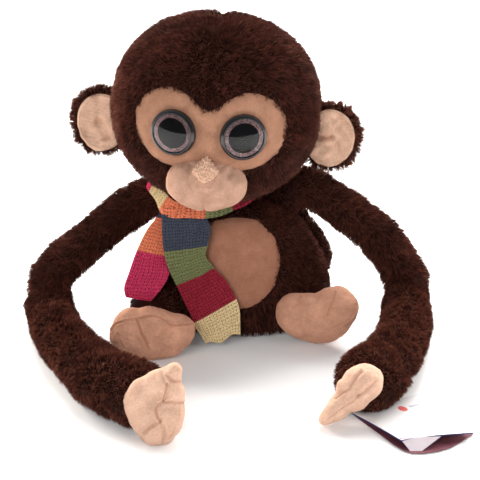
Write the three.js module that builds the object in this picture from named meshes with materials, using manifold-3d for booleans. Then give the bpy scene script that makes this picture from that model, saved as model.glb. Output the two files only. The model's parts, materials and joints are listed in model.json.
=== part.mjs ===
// Stuffed monkey: a seated plush toy with long limp arms, a knitted scarf and a folded paper tag.
// Millimetres, +Z up, the toy faces -Y, and +X is the toy's own left. The toy sits on the plane Z = 0.
// Every fabric cover is a shell with an opening, and every stuffing fills its cover with a small gap.
import * as THREE from "three";
import { mergeVertices } from "three/addons/utils/BufferGeometryUtils.js";
import Module from "manifold-3d";

const wasm = await Module();
wasm.setup();

// ---------------------------------------------------------------- driving dimensions
const FUR_SHELL = 2.6; // thickness of a pile-fabric cover
const SKIN_SHELL = 1.6; // thickness of a short-nap cover
const GAP = 0.35; // between a cover and what it holds
const JOINT_GAP = 0.9; // between two limbs that turn on each other
const HEAD_POS = [-17, -8, 168]; // head centre
const HEAD_YAW = -4; // degrees, turned to the toy's right
const HEAD_ROLL = 3; // degrees, tipped to the toy's left
const HEAD_SEMI = [73, 64, 67];
const FACE_EYE_X = 23.3, FACE_EYE_Z = -1.3; // eye centres on the head
const EYE_R = 16, LENS_R = 13.3;
const MUZZLE_C = [0, -57, -37.5], MUZZLE_SEMI = [27.3, 21, 17.8];
const EAR_X = 83.5, EAR_Y = 3, EAR_Z = -16, EAR_SEMI = [20.5, 6, 24];
const NECK_C = [-12, 0], NECK_R = 12.5, NECK_HOLE = 15;
const BELLY_C = [-3, 59], BELLY_SEMI = [31.5, 32.5];
// the box's bottom centre in the frame that the tables below are written in
const ORIGIN = [-5.19, -60.55, 0];

// height, half-width, half-depth, centre x, centre y of the torso
const TORSO = [
  [0, 0, 0, 0, 8], [0, 46, 34, 0, 8], [4, 57, 44, 0, 8], [15, 64, 49.5, 0, 8], [28, 66, 50.5, 0, 8],
  [43, 62.5, 50, 0, 8], [60, 55.5, 45.5, -1.6, 8], [76, 47, 39.5, -4.2, 7],
  [87.5, 37.5, 31.5, -7.3, 5], [94, 22.5, 21.5, -10.4, 2.4], [98.5, 0, 0, -12, 0],
];
// limb centre lines: x, y, z, radius
const ARM = {
  right: {
    upper: [[-40, 13, 84, 12], [-54, 11, 91.5, 13], [-66, 10, 94.5, 13.5], [-80, 9, 88, 13.5], [-93.5, 6, 78.6, 13.5], [-108.5, 2, 67, 13.7], [-125.6, -2, 54, 14], [-137.5, -5, 42, 14.4], [-143.5, -8, 31, 14.8], [-144, -9, 21.5, 15]],
    fore: [[-144, -9, 21.5, 15], [-142, -24, 17.5, 15.6], [-136.8, -43, 16.6, 16], [-125.4, -75.5, 17, 16.5], [-109, -108.5, 17.8, 17.3], [-94.3, -131, 18.4, 18], [-80, -147.5, 18.9, 18.5], [-68, -157.5, 19.4, 19]],
  },
  left: {
    upper: [[27, 13, 88, 12], [38, 12.5, 98, 12.5], [49.5, 11, 103, 13.2], [60.4, 10, 97.6, 13.5], [74.8, 8, 88.5, 13.5], [89.5, 5, 78.4, 13.7], [104.4, 2, 66, 14], [116, 0, 51.5, 14.4], [124.5, 0, 36, 14.8], [126.5, 0, 21.5, 15]],
    fore: [[126.5, 0, 21.5, 15], [125.5, -14, 18, 15.6], [123.6, -30.8, 17.2, 16.3], [119.4, -56, 17.2, 16.8], [112.4, -85, 17.9, 17.3], [100.5, -114, 18.6, 17.8], [93.5, -128.5, 19.2, 18], [89, -138, 19.6, 18]],
  },
};
const LEG = {
  right: [[-47, -17, 24.5, 21], [-53, -27, 23, 20.5], [-59, -37, 21.5, 20], [-64, -45, 20.4, 19]],
  left: [[40, -8, 25, 20], [45, -12, 24, 20], [50, -17, 22, 20], [54, -21, 21, 18.5]],
};
// centre, half-length, half-thickness, half-height, turn about Z in degrees, pitch of the length in degrees
const FOOT = {
  right: { c: [-62.2, -67.7, 18.6], semi: [31, 12, 18], yaw: 3, pitch: 3 },
  left: { c: [57.5, -45.5, 21.9], semi: [31, 10.5, 20.5], yaw: 4, pitch: -7 },
};
// centre, long axis, width axis, half-length, half-width, half-thickness
const HAND = {
  right: { c: [-51.5, -185, 26.5], a: [0.16, 0.06, 1], b: [0.93, -0.36, -0.1], semi: [25.5, 18.5, 9.5], thumb: [[-46, -182, 44], 6.5] },
  left: { c: [72.5, -163.5, 21.8], a: [0.74, 0.05, 0.66], b: [0.05, 1, -0.12], semi: [27, 17, 10.5], thumb: [[86.5, -172, 34.5], 7] },
};
const TAIL = [[8, 55, 20, 10], [20, 67, 15, 10], [40, 74, 12, 9.5], [60, 68, 15, 9], [67, 56, 28, 8.6], [62, 49, 46, 8.3], [52, 47, 62, 8], [45, 47, 72, 7]];
const SCARF_T = 3; // thickness of the folded knit
const SCARF_W = 36;
const LOOP = { c: [-12, 2], semi: [25.5, 36], z: 99.6, drop: 4.2 };
// centre line of each tail of the scarf, and its lean in X
const FRONT_TAIL = [[-41, -37.5, 101], [-40.5, -38, 88], [-39.5, -40, 77], [-33.5, -46, 56], [-26, -49, 44], [-19.4, -50.5, 33], [-14.6, -52.5, 17], [-11, -54.5, 5.5]];
const BACK_TAIL = [[-58, -32, 90], [-62, -34.5, 78], [-67.9, -38.2, 66], [-70, -48.5, 55], [-71.5, -56, 49]];
const TAG = { a: [72, -159, 4.2], b: [106.7, -135.3, 5], c: [121.1, -138.2, 5], d: [147.8, -187.9, 4.6], e: [101, -197.3, 6.6], f: [112, -205, 1.2], t: 0.9 };
const TAG_HOLE = [94.5, -150.8];

// joint centres
const J = {
  shoulder: { right: [-40, 13, 84], left: [27, 13, 88] },
  elbow: { right: [-144, -9, 21.5], left: [126.5, 0, 21.5] },
  wrist: { right: [-68, -157.5, 19.4], left: [89, -138, 19.6] },
  hip: { right: [-47, -17, 24.5], left: [40, -8, 25] },
  ankle: { right: [-64, -45, 20.4], left: [54, -21, 21] },
};

// ---------------------------------------------------------------- helpers
const rad = (d) => (d * Math.PI) / 180;
const vec = (a) => new THREE.Vector3(a[0], a[1], a[2]);

// a three.js geometry as a solid
function solid(geometry) {
  const g = geometry.index ? geometry.toNonIndexed() : geometry.clone();
  for (const k of Object.keys(g.attributes)) if (k !== "position") g.deleteAttribute(k);
  const m = mergeVertices(g, 1e-4);
  const p = m.attributes.position.array;
  let t = Array.from(m.index.array);
  const tris = [];
  for (let i = 0; i < t.length; i += 3) if (t[i] !== t[i + 1] && t[i + 1] !== t[i + 2] && t[i] !== t[i + 2]) tris.push(t[i], t[i + 1], t[i + 2]);
  let vol = 0;
  for (let i = 0; i < tris.length; i += 3) {
    const [a, b, c] = [tris[i] * 3, tris[i + 1] * 3, tris[i + 2] * 3];
    vol += p[a] * (p[b + 1] * p[c + 2] - p[b + 2] * p[c + 1]) - p[a + 1] * (p[b] * p[c + 2] - p[b + 2] * p[c]) + p[a + 2] * (p[b] * p[c + 1] - p[b + 1] * p[c]);
  }
  if (vol < 0) for (let i = 0; i < tris.length; i += 3) [tris[i], tris[i + 1]] = [tris[i + 1], tris[i]];
  return new wasm.Manifold(new wasm.Mesh({ numProp: 3, vertProperties: new Float32Array(p), triVerts: new Uint32Array(tris) }));
}
function geometryOf(s) {
  const m = s.getMesh();
  const v = new Float32Array(m.numVert * 3);
  for (let i = 0; i < m.numVert; i++) v.set(m.vertProperties.subarray(i * m.numProp, i * m.numProp + 3), i * 3);
  const g = new THREE.BufferGeometry();
  g.setAttribute("position", new THREE.BufferAttribute(v, 3));
  g.setIndex(new THREE.BufferAttribute(new Uint32Array(m.triVerts), 1));
  const n = g.toNonIndexed();
  n.computeVertexNormals();
  return n;
}
// keeps only the largest body of a cut piece
function largest(s) {
  return s.decompose().reduce((a, b) => (b.volume() > a.volume() ? b : a));
}
// a sphere whose vertices are mapped by f(u, v): u runs round, v from pole to pole
function surf(nu, nv, f) {
  const g = new THREE.SphereGeometry(1, nu, nv);
  const p = g.attributes.position;
  for (let iy = 0; iy <= nv; iy++)
    for (let ix = 0; ix <= nu; ix++) {
      const q = f((ix % nu) / nu, iy / nv);
      p.setXYZ(iy * (nu + 1) + ix, q[0], q[1], q[2]);
    }
  return solid(g);
}
// superellipsoid
function blob(c, semi, nu, nv, n = 2) {
  return surf(nu, nv, (u, v) => {
    const th = 2 * Math.PI * u, ph = Math.PI * v;
    const d = [Math.sin(ph) * Math.cos(th), Math.sin(ph) * Math.sin(th), Math.cos(ph)];
    const k = typeof n === "function" ? n(d) : n;
    const s = Math.pow(d.reduce((a, x, i) => a + Math.pow(Math.abs(x / semi[i]), k), 0), -1 / k);
    return [c[0] + d[0] * s, c[1] + d[1] * s, c[2] + d[2] * s];
  });
}
// the same, on three given axes
function turnedBlob(c, axes, semi, nu, nv, n = 2) {
  const A = axes.map((a) => vec(a).normalize());
  A[1].sub(A[0].clone().multiplyScalar(A[0].dot(A[1]))).normalize();
  const C = A[0].clone().cross(A[1]).normalize();
  const m = new THREE.Matrix4().makeBasis(A[0], A[1], C).setPosition(vec(c));
  return surf(nu, nv, (u, v) => {
    const th = 2 * Math.PI * u, ph = Math.PI * v;
    const d = [Math.cos(ph), Math.sin(ph) * Math.cos(th), Math.sin(ph) * Math.sin(th)];
    const s = Math.pow(d.reduce((a, x, i) => a + Math.pow(Math.abs(x / semi[i]), n), 0), -1 / n);
    const p = new THREE.Vector3(d[0] * s, d[1] * s, d[2] * s).applyMatrix4(m);
    return [p.x, p.y, p.z];
  });
}
// a round limb along a centre line, with half-ball ends; off makes it thinner or fatter
function limb(points, nu, nv, off = 0) {
  const curve = new THREE.CatmullRomCurve3(points.map(vec), false, "centripetal");
  const N = 200;
  const pts = [], rs = [];
  for (let i = 0; i <= N; i++) {
    const t = i / N;
    pts.push(curve.getPoint(t));
    const k = Math.min(points.length - 2, Math.floor(t * (points.length - 1))), w = t * (points.length - 1) - k;
    rs.push(points[k][3] * (1 - w) + points[k + 1][3] * w + off);
  }
  const cum = [0];
  for (let i = 1; i <= N; i++) cum.push(cum[i - 1] + pts[i].distanceTo(pts[i - 1]));
  const L = cum[N];
  const at = (s) => {
    s = Math.min(L, Math.max(0, s));
    let i = 1;
    while (i < N && cum[i] < s) i++;
    const w = (s - cum[i - 1]) / (cum[i] - cum[i - 1]);
    return { p: pts[i - 1].clone().lerp(pts[i], w), r: rs[i - 1] * (1 - w) + rs[i] * w, t: pts[i].clone().sub(pts[i - 1]).normalize() };
  };
  // frames carried along the line
  const frames = [];
  const T0 = at(0).t;
  let nrm = new THREE.Vector3(0, 0, 1).cross(T0).normalize();
  let prev = T0;
  const K = 60;
  for (let i = 0; i <= K; i++) {
    const t = at((L * i) / K).t;
    const q = new THREE.Quaternion().setFromUnitVectors(prev, t);
    nrm = nrm.clone().applyQuaternion(q).normalize();
    prev = t;
    frames.push(nrm.clone());
  }
  const cap = 2; // rows in each half-ball
  return surf(nu, nv, (u, v) => {
    const row = v * nv;
    let s, k = 1, ax = 0;
    const a = at(0), b = at(L);
    if (row <= cap) { const ph = (row / cap) * (Math.PI / 2); s = 0; k = Math.sin(ph); ax = -Math.cos(ph) * a.r; }
    else if (row >= nv - cap) { const ph = ((nv - row) / cap) * (Math.PI / 2); s = L; k = Math.sin(ph); ax = Math.cos(ph) * b.r; }
    else s = (L * (row - cap)) / (nv - 2 * cap);
    const c = at(s);
    const n = frames[Math.round((s / L) * K)].clone();
    const w = c.t.clone().cross(n).normalize();
    const th = 2 * Math.PI * u;
    const q = c.p.clone().addScaledVector(c.t, ax).addScaledVector(n, Math.cos(th) * c.r * k).addScaledVector(w, Math.sin(th) * c.r * k);
    return [q.x, q.y, q.z];
  });
}
// a body of rows: height, half-width, half-depth, centre x, centre y
function rows(table, nu, off, lift = 0, drop = 0, n = 2.15) {
  const nv = table.length - 1;
  return surf(nu, nv, (u, v) => {
    const i = Math.round(v * nv);
    let [z, ax, ay, cx, cy] = table[i];
    if (ax > 0) { ax = Math.max(0.5, ax + off); ay = Math.max(0.5, ay + off); }
    z = Math.min(Math.max(z, lift), table[nv][0] - drop);
    const th = 2 * Math.PI * u;
    const c = Math.cos(th), s = Math.sin(th);
    const k = Math.pow(Math.pow(Math.abs(c), n) + Math.pow(Math.abs(s), n), -1 / n);
    return [cx + ax * c * k, cy + ay * s * k, z];
  });
}
// cylinder between two points
function rod(a, b, r, n = 16) {
  const A = vec(a), B = vec(b), L = A.distanceTo(B);
  const g = new THREE.CylinderGeometry(r, r, L, n);
  g.translate(0, L / 2, 0);
  g.applyQuaternion(new THREE.Quaternion().setFromUnitVectors(new THREE.Vector3(0, 1, 0), B.clone().sub(A).normalize()));
  g.translate(A.x, A.y, A.z);
  return solid(g);
}
const ball = (c, r, nu = 10, nv = 7) => blob(c, [r, r, r], nu, nv);
// a flat outline in X and Z, as a prism along Y
function prism(outline, y0, y1) {
  const shape = new THREE.Shape(outline.map(([x, z]) => new THREE.Vector2(x, -z)));
  const g = new THREE.ExtrudeGeometry(shape, { depth: y1 - y0, bevelEnabled: false });
  g.rotateX(-Math.PI / 2);
  const p = g.attributes.position;
  for (let i = 0; i < p.count; i++) { const [x, y, z] = [p.getX(i), p.getY(i), p.getZ(i)]; p.setXYZ(i, x, y + y0, z); }
  // the extrusion now runs along +Y, with the outline in X and Z
  return solid(g);
}
const shrink = (outline, d) => outline.map(([x, z], i) => {
  const n = outline.length, a = outline[(i + n - 1) % n], b = outline[(i + 1) % n];
  let [tx, tz] = [b[0] - a[0], b[1] - a[1]];
  const l = Math.hypot(tx, tz);
  let area = 0;
  outline.forEach((p, k) => { const q = outline[(k + 1) % n]; area += p[0] * q[1] - q[0] * p[1]; });
  const s = Math.sign(area);
  return [x - (s * tz * d) / l, z + (s * tx * d) / l];
});
// a solid turned about a line through c along axis
function turned(s, c, axis, deg) {
  const m = new THREE.Matrix4().makeTranslation(...c).multiply(new THREE.Matrix4().makeRotationAxis(vec(axis).normalize(), rad(deg))).multiply(new THREE.Matrix4().makeTranslation(-c[0], -c[1], -c[2]));
  return s.transform(m.elements.slice());
}
// takes from a piece what a neighbour sweeps as the piece turns by these angles, and a ball round the joint
function clear(s, neighbour, c, axis, angles, r = 0) {
  let out = s;
  for (const a of angles) out = out.subtract(turned(neighbour, c, axis, -a));
  return r ? out.subtract(ball(c, r, 10, 7)) : out;
}
// a strip of cloth: centre line in 3-D, width along X (leaning with the line), n cross cuts
function strip(line, width, t, nx = 6, nl = 10, bow = 0) {
  const curve = new THREE.CatmullRomCurve3(line.map(vec), false, "centripetal");
  const g = new THREE.BoxGeometry(1, 1, 1, nx, 1, nl);
  const p = g.attributes.position;
  for (let i = 0; i < p.count; i++) {
    const w = p.getX(i), h = p.getY(i), s = p.getZ(i) + 0.5;
    const c = curve.getPointAt(s), T = curve.getTangentAt(s);
    const side = new THREE.Vector3(1, 0, 0).addScaledVector(T, -T.x).normalize();
    const n = T.clone().cross(side).normalize(); // towards +Y or -Y
    const q = c.addScaledVector(side, w * width).addScaledVector(n, h * t + bow * (4 * w * w));
    p.setXYZ(i, q.x, q.y, q.z);
  }
  return solid(g);
}

// ---------------------------------------------------------------- the group
const root = new THREE.Group();
const toy = new THREE.Group();
toy.position.set(-ORIGIN[0], -ORIGIN[1], -ORIGIN[2]);
root.add(toy);
const head = new THREE.Group();
head.position.set(...HEAD_POS);
head.rotation.set(0, rad(HEAD_ROLL), rad(HEAD_YAW), "ZYX");
toy.add(head);
const PAINT = {
  fur: [0x4a2219, 0.95], tan: [0xd2a585, 0.9], muzzle: [0xd9b096, 0.9], palm: [0xe6c6aa, 0.9], lining: [0xdcbb9d, 0.9],
  stuffing: [0xf2f0ea, 1], black: [0x101010, 0.25], glitter: [0x9c7f7c, 0.4], clear: [0x2c3036, 0.05], washer: [0xe8e8e4, 0.5],
  knit: [0xb56a4a, 1], paper: [0xf4f4f2, 0.8], cord: [0x1a1a1c, 0.6], pellets: [0xd8d4c8, 0.9],
};
function add(parent, name, s, paint) {
  const [color, roughness] = PAINT[paint];
  const mesh = new THREE.Mesh(geometryOf(s), new THREE.MeshStandardMaterial({ color, roughness, metalness: 0 }));
  mesh.name = name;
  parent.add(mesh);
  return s;
}

// ---------------------------------------------------------------- head (in the head's own frame)
const headPower = (d) => (d[2] > 0 ? 2.2 : 2.06);
const headBlob = (off, nu = 20, nv = 13) => blob([0, 0, 0], HEAD_SEMI.map((a) => a + off), nu, nv, headPower);
const headMatrix = new THREE.Matrix4().compose(vec(HEAD_POS), new THREE.Quaternion().setFromEuler(new THREE.Euler(0, rad(HEAD_ROLL), rad(HEAD_YAW), "ZYX")), new THREE.Vector3(1, 1, 1));
const toHead = headMatrix.clone().invert();
const intoHead = (p) => { const q = vec(p).applyMatrix4(toHead); return [q.x, q.y, q.z]; };
const LOBE = [[9, 20.5], [17, 26], [27, 28.6], [39, 25.5], [48, 17.5], [53, 3], [51.5, -8], [44, -19.5], [33, -26], [18, -29.5], [12, -33]];
const FACE = [[0, 15.5], ...LOBE, [0, -38], ...LOBE.slice().reverse().map(([x, z]) => [-x, z])];
const facePrism = prism(FACE, -95, -8);
const panelPrism = prism(shrink(FACE, 0.3), -95, -8);
const hOuter = headBlob(0), hInner = headBlob(-FUR_SHELL, 16, 11);
const neckTop = 111;
const neckHoleHead = rod(intoHead([NECK_C[0], NECK_C[1], 80]), intoHead([NECK_C[0], NECK_C[1], neckTop + 3]), NECK_HOLE, 14);
const headShell = hOuter.subtract(hInner).subtract(neckHoleHead);
add(head, "head_cover", largest(headShell.subtract(facePrism)), "fur");

// eyes: a black rim with a post, a glitter ring, a clear dome, and a washer behind the fabric
function eyeFrame(side) {
  const x = side * FACE_EYE_X, z = FACE_EYE_Z, [a, b, c] = HEAD_SEMI;
  const y = -b * Math.sqrt(1 - (x / a) ** 2 - (z / c) ** 2);
  const n = new THREE.Vector3(x / a ** 2, y / b ** 2, z / c ** 2).normalize();
  return { p: [x, y, z], n };
}
function placeEye(profile, f, segments = 14) {
  const g = new THREE.LatheGeometry(profile.map(([r, z]) => new THREE.Vector2(r, z)), segments);
  g.applyQuaternion(new THREE.Quaternion().setFromUnitVectors(new THREE.Vector3(0, 1, 0), f.n));
  g.translate(...f.p);
  return solid(g);
}
let facePanel = headBlob(-0.2).subtract(headBlob(-0.2 - SKIN_SHELL, 16, 11)).intersect(panelPrism);
let headStuffing = headBlob(-FUR_SHELL - GAP, 16, 11).subtract(rod(intoHead([NECK_C[0], NECK_C[1], 80]), intoHead([NECK_C[0], NECK_C[1], neckTop + 2.6]), NECK_HOLE + 0.2, 14));
for (const [side, name] of [[-1, "right"], [1, "left"]]) {
  const f = eyeFrame(side);
  facePanel = facePanel.subtract(placeEye([[0, -1.2], [EYE_R + 0.5, -1.2], [EYE_R + 0.5, 8], [0, 8]], f)).subtract(placeEye([[0, -8], [2.7, -8], [2.7, 4], [0, 4]], f, 8));
  headStuffing = headStuffing.subtract(placeEye([[0, -10.6], [9, -10.6], [9, 6], [0, 6]], f, 12));
  add(head, `${name}_eye_rim`, placeEye([[0, -9.6], [2.2, -9.6], [2.2, -0.85], [15, -0.85], [EYE_R, 0.4], [EYE_R, 3.2], [15, 4.4], [LENS_R + 0.45, 4.4], [LENS_R + 0.4, 0.9], [0, 0.9]], f), "black");
  add(head, `${name}_eye_iris`, placeEye([[0, 1.25], [LENS_R, 1.25], [LENS_R, 2.3], [0, 2.3]], f), "glitter");
  add(head, `${name}_eye_lens`, placeEye([[0, 2.65], [LENS_R, 2.65], [LENS_R, 4.2], [11.4, 7.5], [6.6, 9.8], [0, 10.6]], f), "clear");
  add(head, `${name}_eye_washer`, placeEye([[2.6, -4.9], [8, -4.9], [8, -3.5], [2.6, -3.5], [2.6, -4.9]], f, 12), "washer");
}
add(head, "face_panel", largest(facePanel), "tan");
add(head, "head_stuffing", largest(headStuffing), "stuffing");
const headOver = headBlob(GAP);
const mOuter = blob(MUZZLE_C, MUZZLE_SEMI, 16, 10, 2.2), mInner = blob(MUZZLE_C, MUZZLE_SEMI.map((a) => a - SKIN_SHELL), 12, 8, 2.2);
add(head, "muzzle_cover", largest(mOuter.subtract(mInner).subtract(headOver)), "muzzle");
add(head, "muzzle_stuffing", largest(blob(MUZZLE_C, MUZZLE_SEMI.map((a) => a - SKIN_SHELL - GAP), 12, 8, 2.2).subtract(headOver)), "stuffing");
const nose = turnedBlob([0, -69.7, -23.2], [[1, 0, 0], [0, 0.84, 0.543]], [8.2, 9.6, 3.6], 10, 6, 1.5);
add(head, "nose", largest(nose.subtract(blob(MUZZLE_C, MUZZLE_SEMI.map((a) => a + GAP), 16, 10, 2.2)).subtract(headOver)), "muzzle");

// ears: a furry back with a rim and a dished lining, each hinged where it is sewn to the head
const headWide = headBlob(2.8);
for (const [side, name] of [[-1, "right"], [1, "left"]]) {
  const c = [side * EAR_X, EAR_Y, EAR_Z];
  const back = blob([c[0], c[1] + 1, c[2]], EAR_SEMI, 14, 8, 2.2);
  const cut = blob([c[0] - side * 1, c[1] - 3.4, c[2]], [17.6, 4.9, 21], 12, 7, 2.2);
  add(head, `${name}_ear_back`, largest(back.subtract(cut).subtract(headWide)), "fur");
  const lin = blob([c[0] - side * 1, c[1] - 3.4, c[2]], [17.2, 4.5, 20.6], 12, 7, 2.2);
  const dish = blob([c[0] - side * 3, c[1] - 9, c[2]], [13, 4.6, 16], 8, 5, 2);
  add(head, `${name}_ear_lining`, largest(lin.subtract(dish).subtract(headWide)), "lining");
}

// ---------------------------------------------------------------- torso
const tOuter = rows(TORSO, 20, 0), tInner = rows(TORSO, 16, -FUR_SHELL - 0.3, FUR_SHELL, FUR_SHELL);
let tCut = rod([NECK_C[0], NECK_C[1], 92], [NECK_C[0], NECK_C[1], 120], NECK_HOLE, 14);
for (const s of ["right", "left"]) {
  const a = ARM[s].upper[0], l = LEG[s][0];
  tCut = tCut.add(ball(a.slice(0, 3), a[3] + JOINT_GAP, 10, 7)).add(ball(l.slice(0, 3), l[3] + JOINT_GAP + 0.5));
}
const BELLY = [];
for (let i = 0; i < 16; i++) { const t = (i / 16) * 2 * Math.PI; BELLY.push([BELLY_C[0] + BELLY_SEMI[0] * Math.cos(t), BELLY_C[1] + BELLY_SEMI[1] * Math.sin(t)]); }
const tShell = tOuter.subtract(tInner).subtract(tCut);
add(toy, "torso_cover", largest(tShell.subtract(prism(BELLY, -90, 0))), "fur");
add(toy, "belly_patch", largest(rows(TORSO, 20, -0.2).subtract(rows(TORSO, 16, -0.5 - SKIN_SHELL, 3, 3)).subtract(tCut).intersect(prism(shrink(BELLY, 0.3), -90, 0))), "tan");
const pouch = blob([0, 12, 17.5], [34, 27, 13.5], 10, 7, 2.3), pouchRoom = blob([0, 12, 17.5], [34.5, 27.5, 14], 10, 7, 2.3);
const neckRoom = rod([NECK_C[0], NECK_C[1], 85], [NECK_C[0], NECK_C[1], 120], NECK_R + 0.6, 14);
let pouchWay = rod([0, 12, 17], [0, 12, 2], 6, 12);
add(toy, "torso_stuffing", largest(rows(TORSO, 16, -FUR_SHELL - GAP - 0.3, FUR_SHELL + GAP, FUR_SHELL + GAP).subtract(tCut).subtract(pouchRoom).subtract(neckRoom).subtract(pouchWay)), "stuffing");
add(toy, "pellet_pouch", largest(pouch.subtract(tCut)), "pellets");
add(toy, "neck_stuffing", rod([NECK_C[0], NECK_C[1], 85.5], [NECK_C[0], NECK_C[1], neckTop], NECK_R, 14), "stuffing");

// ---------------------------------------------------------------- arms
const tWide = rows(TORSO, 12, 2.2);
for (const s of ["right", "left"]) {
  const { upper, fore } = ARM[s];
  const sg = s === "right" ? -1 : 1;
  const S = J.shoulder[s], E = J.elbow[s], W = J.wrist[s];
  const base = (piece, r) => clear(piece, tWide, S, [1, 0, 0], [-60, 0]).add(ball(S, r, 10, 7));
  const open = ball([S[0] - sg * 12, S[1], S[2] - 3], 9, 8, 6);
  const uOuter = base(limb(upper, 9, 15), upper[0][3]);
  const uInner = limb(upper, 7, 12, -FUR_SHELL);
  add(toy, `${s}_upper_arm_cover`, largest(uOuter.subtract(uInner).subtract(open)), "fur");
  add(toy, `${s}_upper_arm_stuffing`, largest(limb(upper, 7, 12, -FUR_SHELL - GAP).subtract(ball(S, 21, 8, 6))), "stuffing");
  const uWide = rod(E, upper.at(-4), (upper.at(-1)[3] + JOINT_GAP) * 1.08, 8);
  const turns = s === "right" ? [-30, -12, 5] : [-5, 12, 30];
  const room = (piece) => clear(piece, uWide, E, [0, 0, 1], turns, upper.at(-1)[3] + JOINT_GAP + 1.1);
  add(toy, `${s}_forearm_cover`, largest(room(limb(fore, 9, 12)).subtract(limb(fore, 6, 8, -FUR_SHELL))), "fur");
  add(toy, `${s}_forearm_stuffing`, limb(fore.slice(2), 6, 7, -FUR_SHELL - GAP - 2), "stuffing");
  // hand: a mitten with a thumb
  const h = HAND[s];
  const hand = (off) => turnedBlob(h.c, [h.a, h.b], h.semi.map((x) => x + off), 11, 8, 2.3).add(blob(h.thumb[0], [h.thumb[1] + off, h.thumb[1] + off, h.thumb[1] + off + 1], 8, 6));
  const fWide = rod(W, fore.at(-3), (fore.at(-1)[3] + JOINT_GAP) * 1.06, 8);
  const wrist = (piece) => clear(piece, fWide, W, [0, 0, 1], [-20, 0, 20], fore.at(-1)[3] + JOINT_GAP + 0.6);
  const floor = solid(new THREE.BoxGeometry(200, 200, 40).translate(h.c[0], h.c[1], -20 + 0.4));
  const mouth = rod(W, h.c, 9, 8); // the hand is open where the sleeve's end is sewn on
  add(toy, `${s}_hand_cover`, largest(wrist(hand(0)).subtract(hand(-SKIN_SHELL)).subtract(mouth).subtract(floor)), "palm");
  add(toy, `${s}_hand_stuffing`, largest(wrist(hand(-SKIN_SHELL - GAP)).subtract(floor)), "stuffing");
}

// ---------------------------------------------------------------- legs and feet
for (const s of ["right", "left"]) {
  const path = LEG[s], P = J.hip[s], A = J.ankle[s], sg = s === "right" ? -1 : 1;
  const base = (piece, r) => clear(piece, tWide, P, [1, 0, 0], s === "right" ? [-35, 0] : [-22, 0]).add(ball(P, r));
  const open = ball([P[0] - sg * 16, P[1] + 10, P[2] + 4], 13, 8, 6);
  const outer = base(limb(path, 12, 8), path[0][3]);
  const inner = limb(path, 9, 7, -FUR_SHELL - 0.3).add(ball(P, path[0][3] - FUR_SHELL - 0.3));
  add(toy, `${s}_leg_cover`, largest(outer.subtract(inner).subtract(open)), "fur");
  add(toy, `${s}_leg_stuffing`, largest(base(limb(path, 9, 7, -FUR_SHELL - GAP - 0.3), path[0][3] - FUR_SHELL - GAP - 0.3).subtract(open)), "stuffing");
  const F = FOOT[s];
  const axis = vec([1, 0, 0]).applyEuler(new THREE.Euler(0, rad(F.pitch), rad(F.yaw), "ZYX"));
  const up = vec([0, 0, 1]).applyEuler(new THREE.Euler(0, rad(F.pitch), rad(F.yaw), "ZYX"));
  const foot = (off, nu = 14, nv = 9) => turnedBlob(F.c, [axis.toArray(), up.toArray()], [F.semi[0] + off, F.semi[2] + off, F.semi[1] + off], nu, nv, 2.35);
  const lWide = rod(A, path.at(-3), (path.at(-1)[3] + JOINT_GAP) * 1.06, 8);
  const room = (piece) => clear(piece, lWide, A, [1, 0, 0], [-20, 0, 20], path.at(-1)[3] + JOINT_GAP + 0.7);
  const shell = room(foot(0)).subtract(foot(-SKIN_SHELL - 0.2, 11, 7));
  // the seam between sole and upper stands a little in front of the middle
  const n = axis.clone().cross(up).normalize();
  if (n.y > 0) n.negate();
  const q = new THREE.Quaternion().setFromUnitVectors(new THREE.Vector3(0, 0, 1), n);
  const half = (from, to) => {
    const g = new THREE.BoxGeometry(120, 120, to - from).translate(0, 0, (from + to) / 2);
    g.applyQuaternion(q).translate(...F.c);
    return solid(g);
  };
  add(toy, `${s}_foot_sole`, largest(shell.intersect(half(2.2, 40))), "tan");
  add(toy, `${s}_foot_upper`, largest(shell.intersect(half(-40, 1.9))), "tan");
  add(toy, `${s}_foot_stuffing`, largest(room(foot(-SKIN_SHELL - GAP - 0.3, 11, 7))), "stuffing");
}

// ---------------------------------------------------------------- tail
{
  const P = TAIL[0].slice(0, 3);
  const cut = (piece) => clear(piece, tWide, P, [0, 0, 1], [0, 40]);
  const outer = cut(limb(TAIL, 8, 13)), inner = limb(TAIL, 6, 11, -FUR_SHELL);
  add(toy, "tail_cover", largest(outer.subtract(inner)), "fur");
  add(toy, "tail_stuffing", largest(limb(TAIL, 6, 11, -FUR_SHELL - GAP).subtract(ball(P, 17, 8, 6))), "stuffing");
}

// ---------------------------------------------------------------- scarf
{
  // loop round the neck: an oval ring of a flattened section
  const n = 20, m = 7;
  const g = new THREE.TorusGeometry(1, 0.4, m, n);
  const p = g.attributes.position;
  for (let j = 0; j <= m; j++)
    for (let i = 0; i <= n; i++) {
      const a = ((i % n) / n) * 2 * Math.PI, b = ((j % m) / m) * 2 * Math.PI;
      const front = Math.max(0, -Math.sin(a));
      const half = 3.6 + 1.8 * front, thick = 1.7 + 0.5 * front;
      const rx = LOOP.semi[0] + thick * Math.cos(b), ry = LOOP.semi[1] + thick * Math.cos(b);
      p.setXYZ(j * (n + 1) + i, LOOP.c[0] + rx * Math.cos(a), LOOP.c[1] + ry * Math.sin(a), LOOP.z - LOOP.drop * front + half * Math.sin(b));
    }
  add(toy, "scarf_neck_loop", solid(g), "knit");
  add(toy, "scarf_front_tail", strip(FRONT_TAIL, SCARF_W, SCARF_T, 3, 9), "knit");
  add(toy, "scarf_back_tail", strip(BACK_TAIL, SCARF_W * 0.8, SCARF_T, 3, 6), "knit");
}

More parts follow.
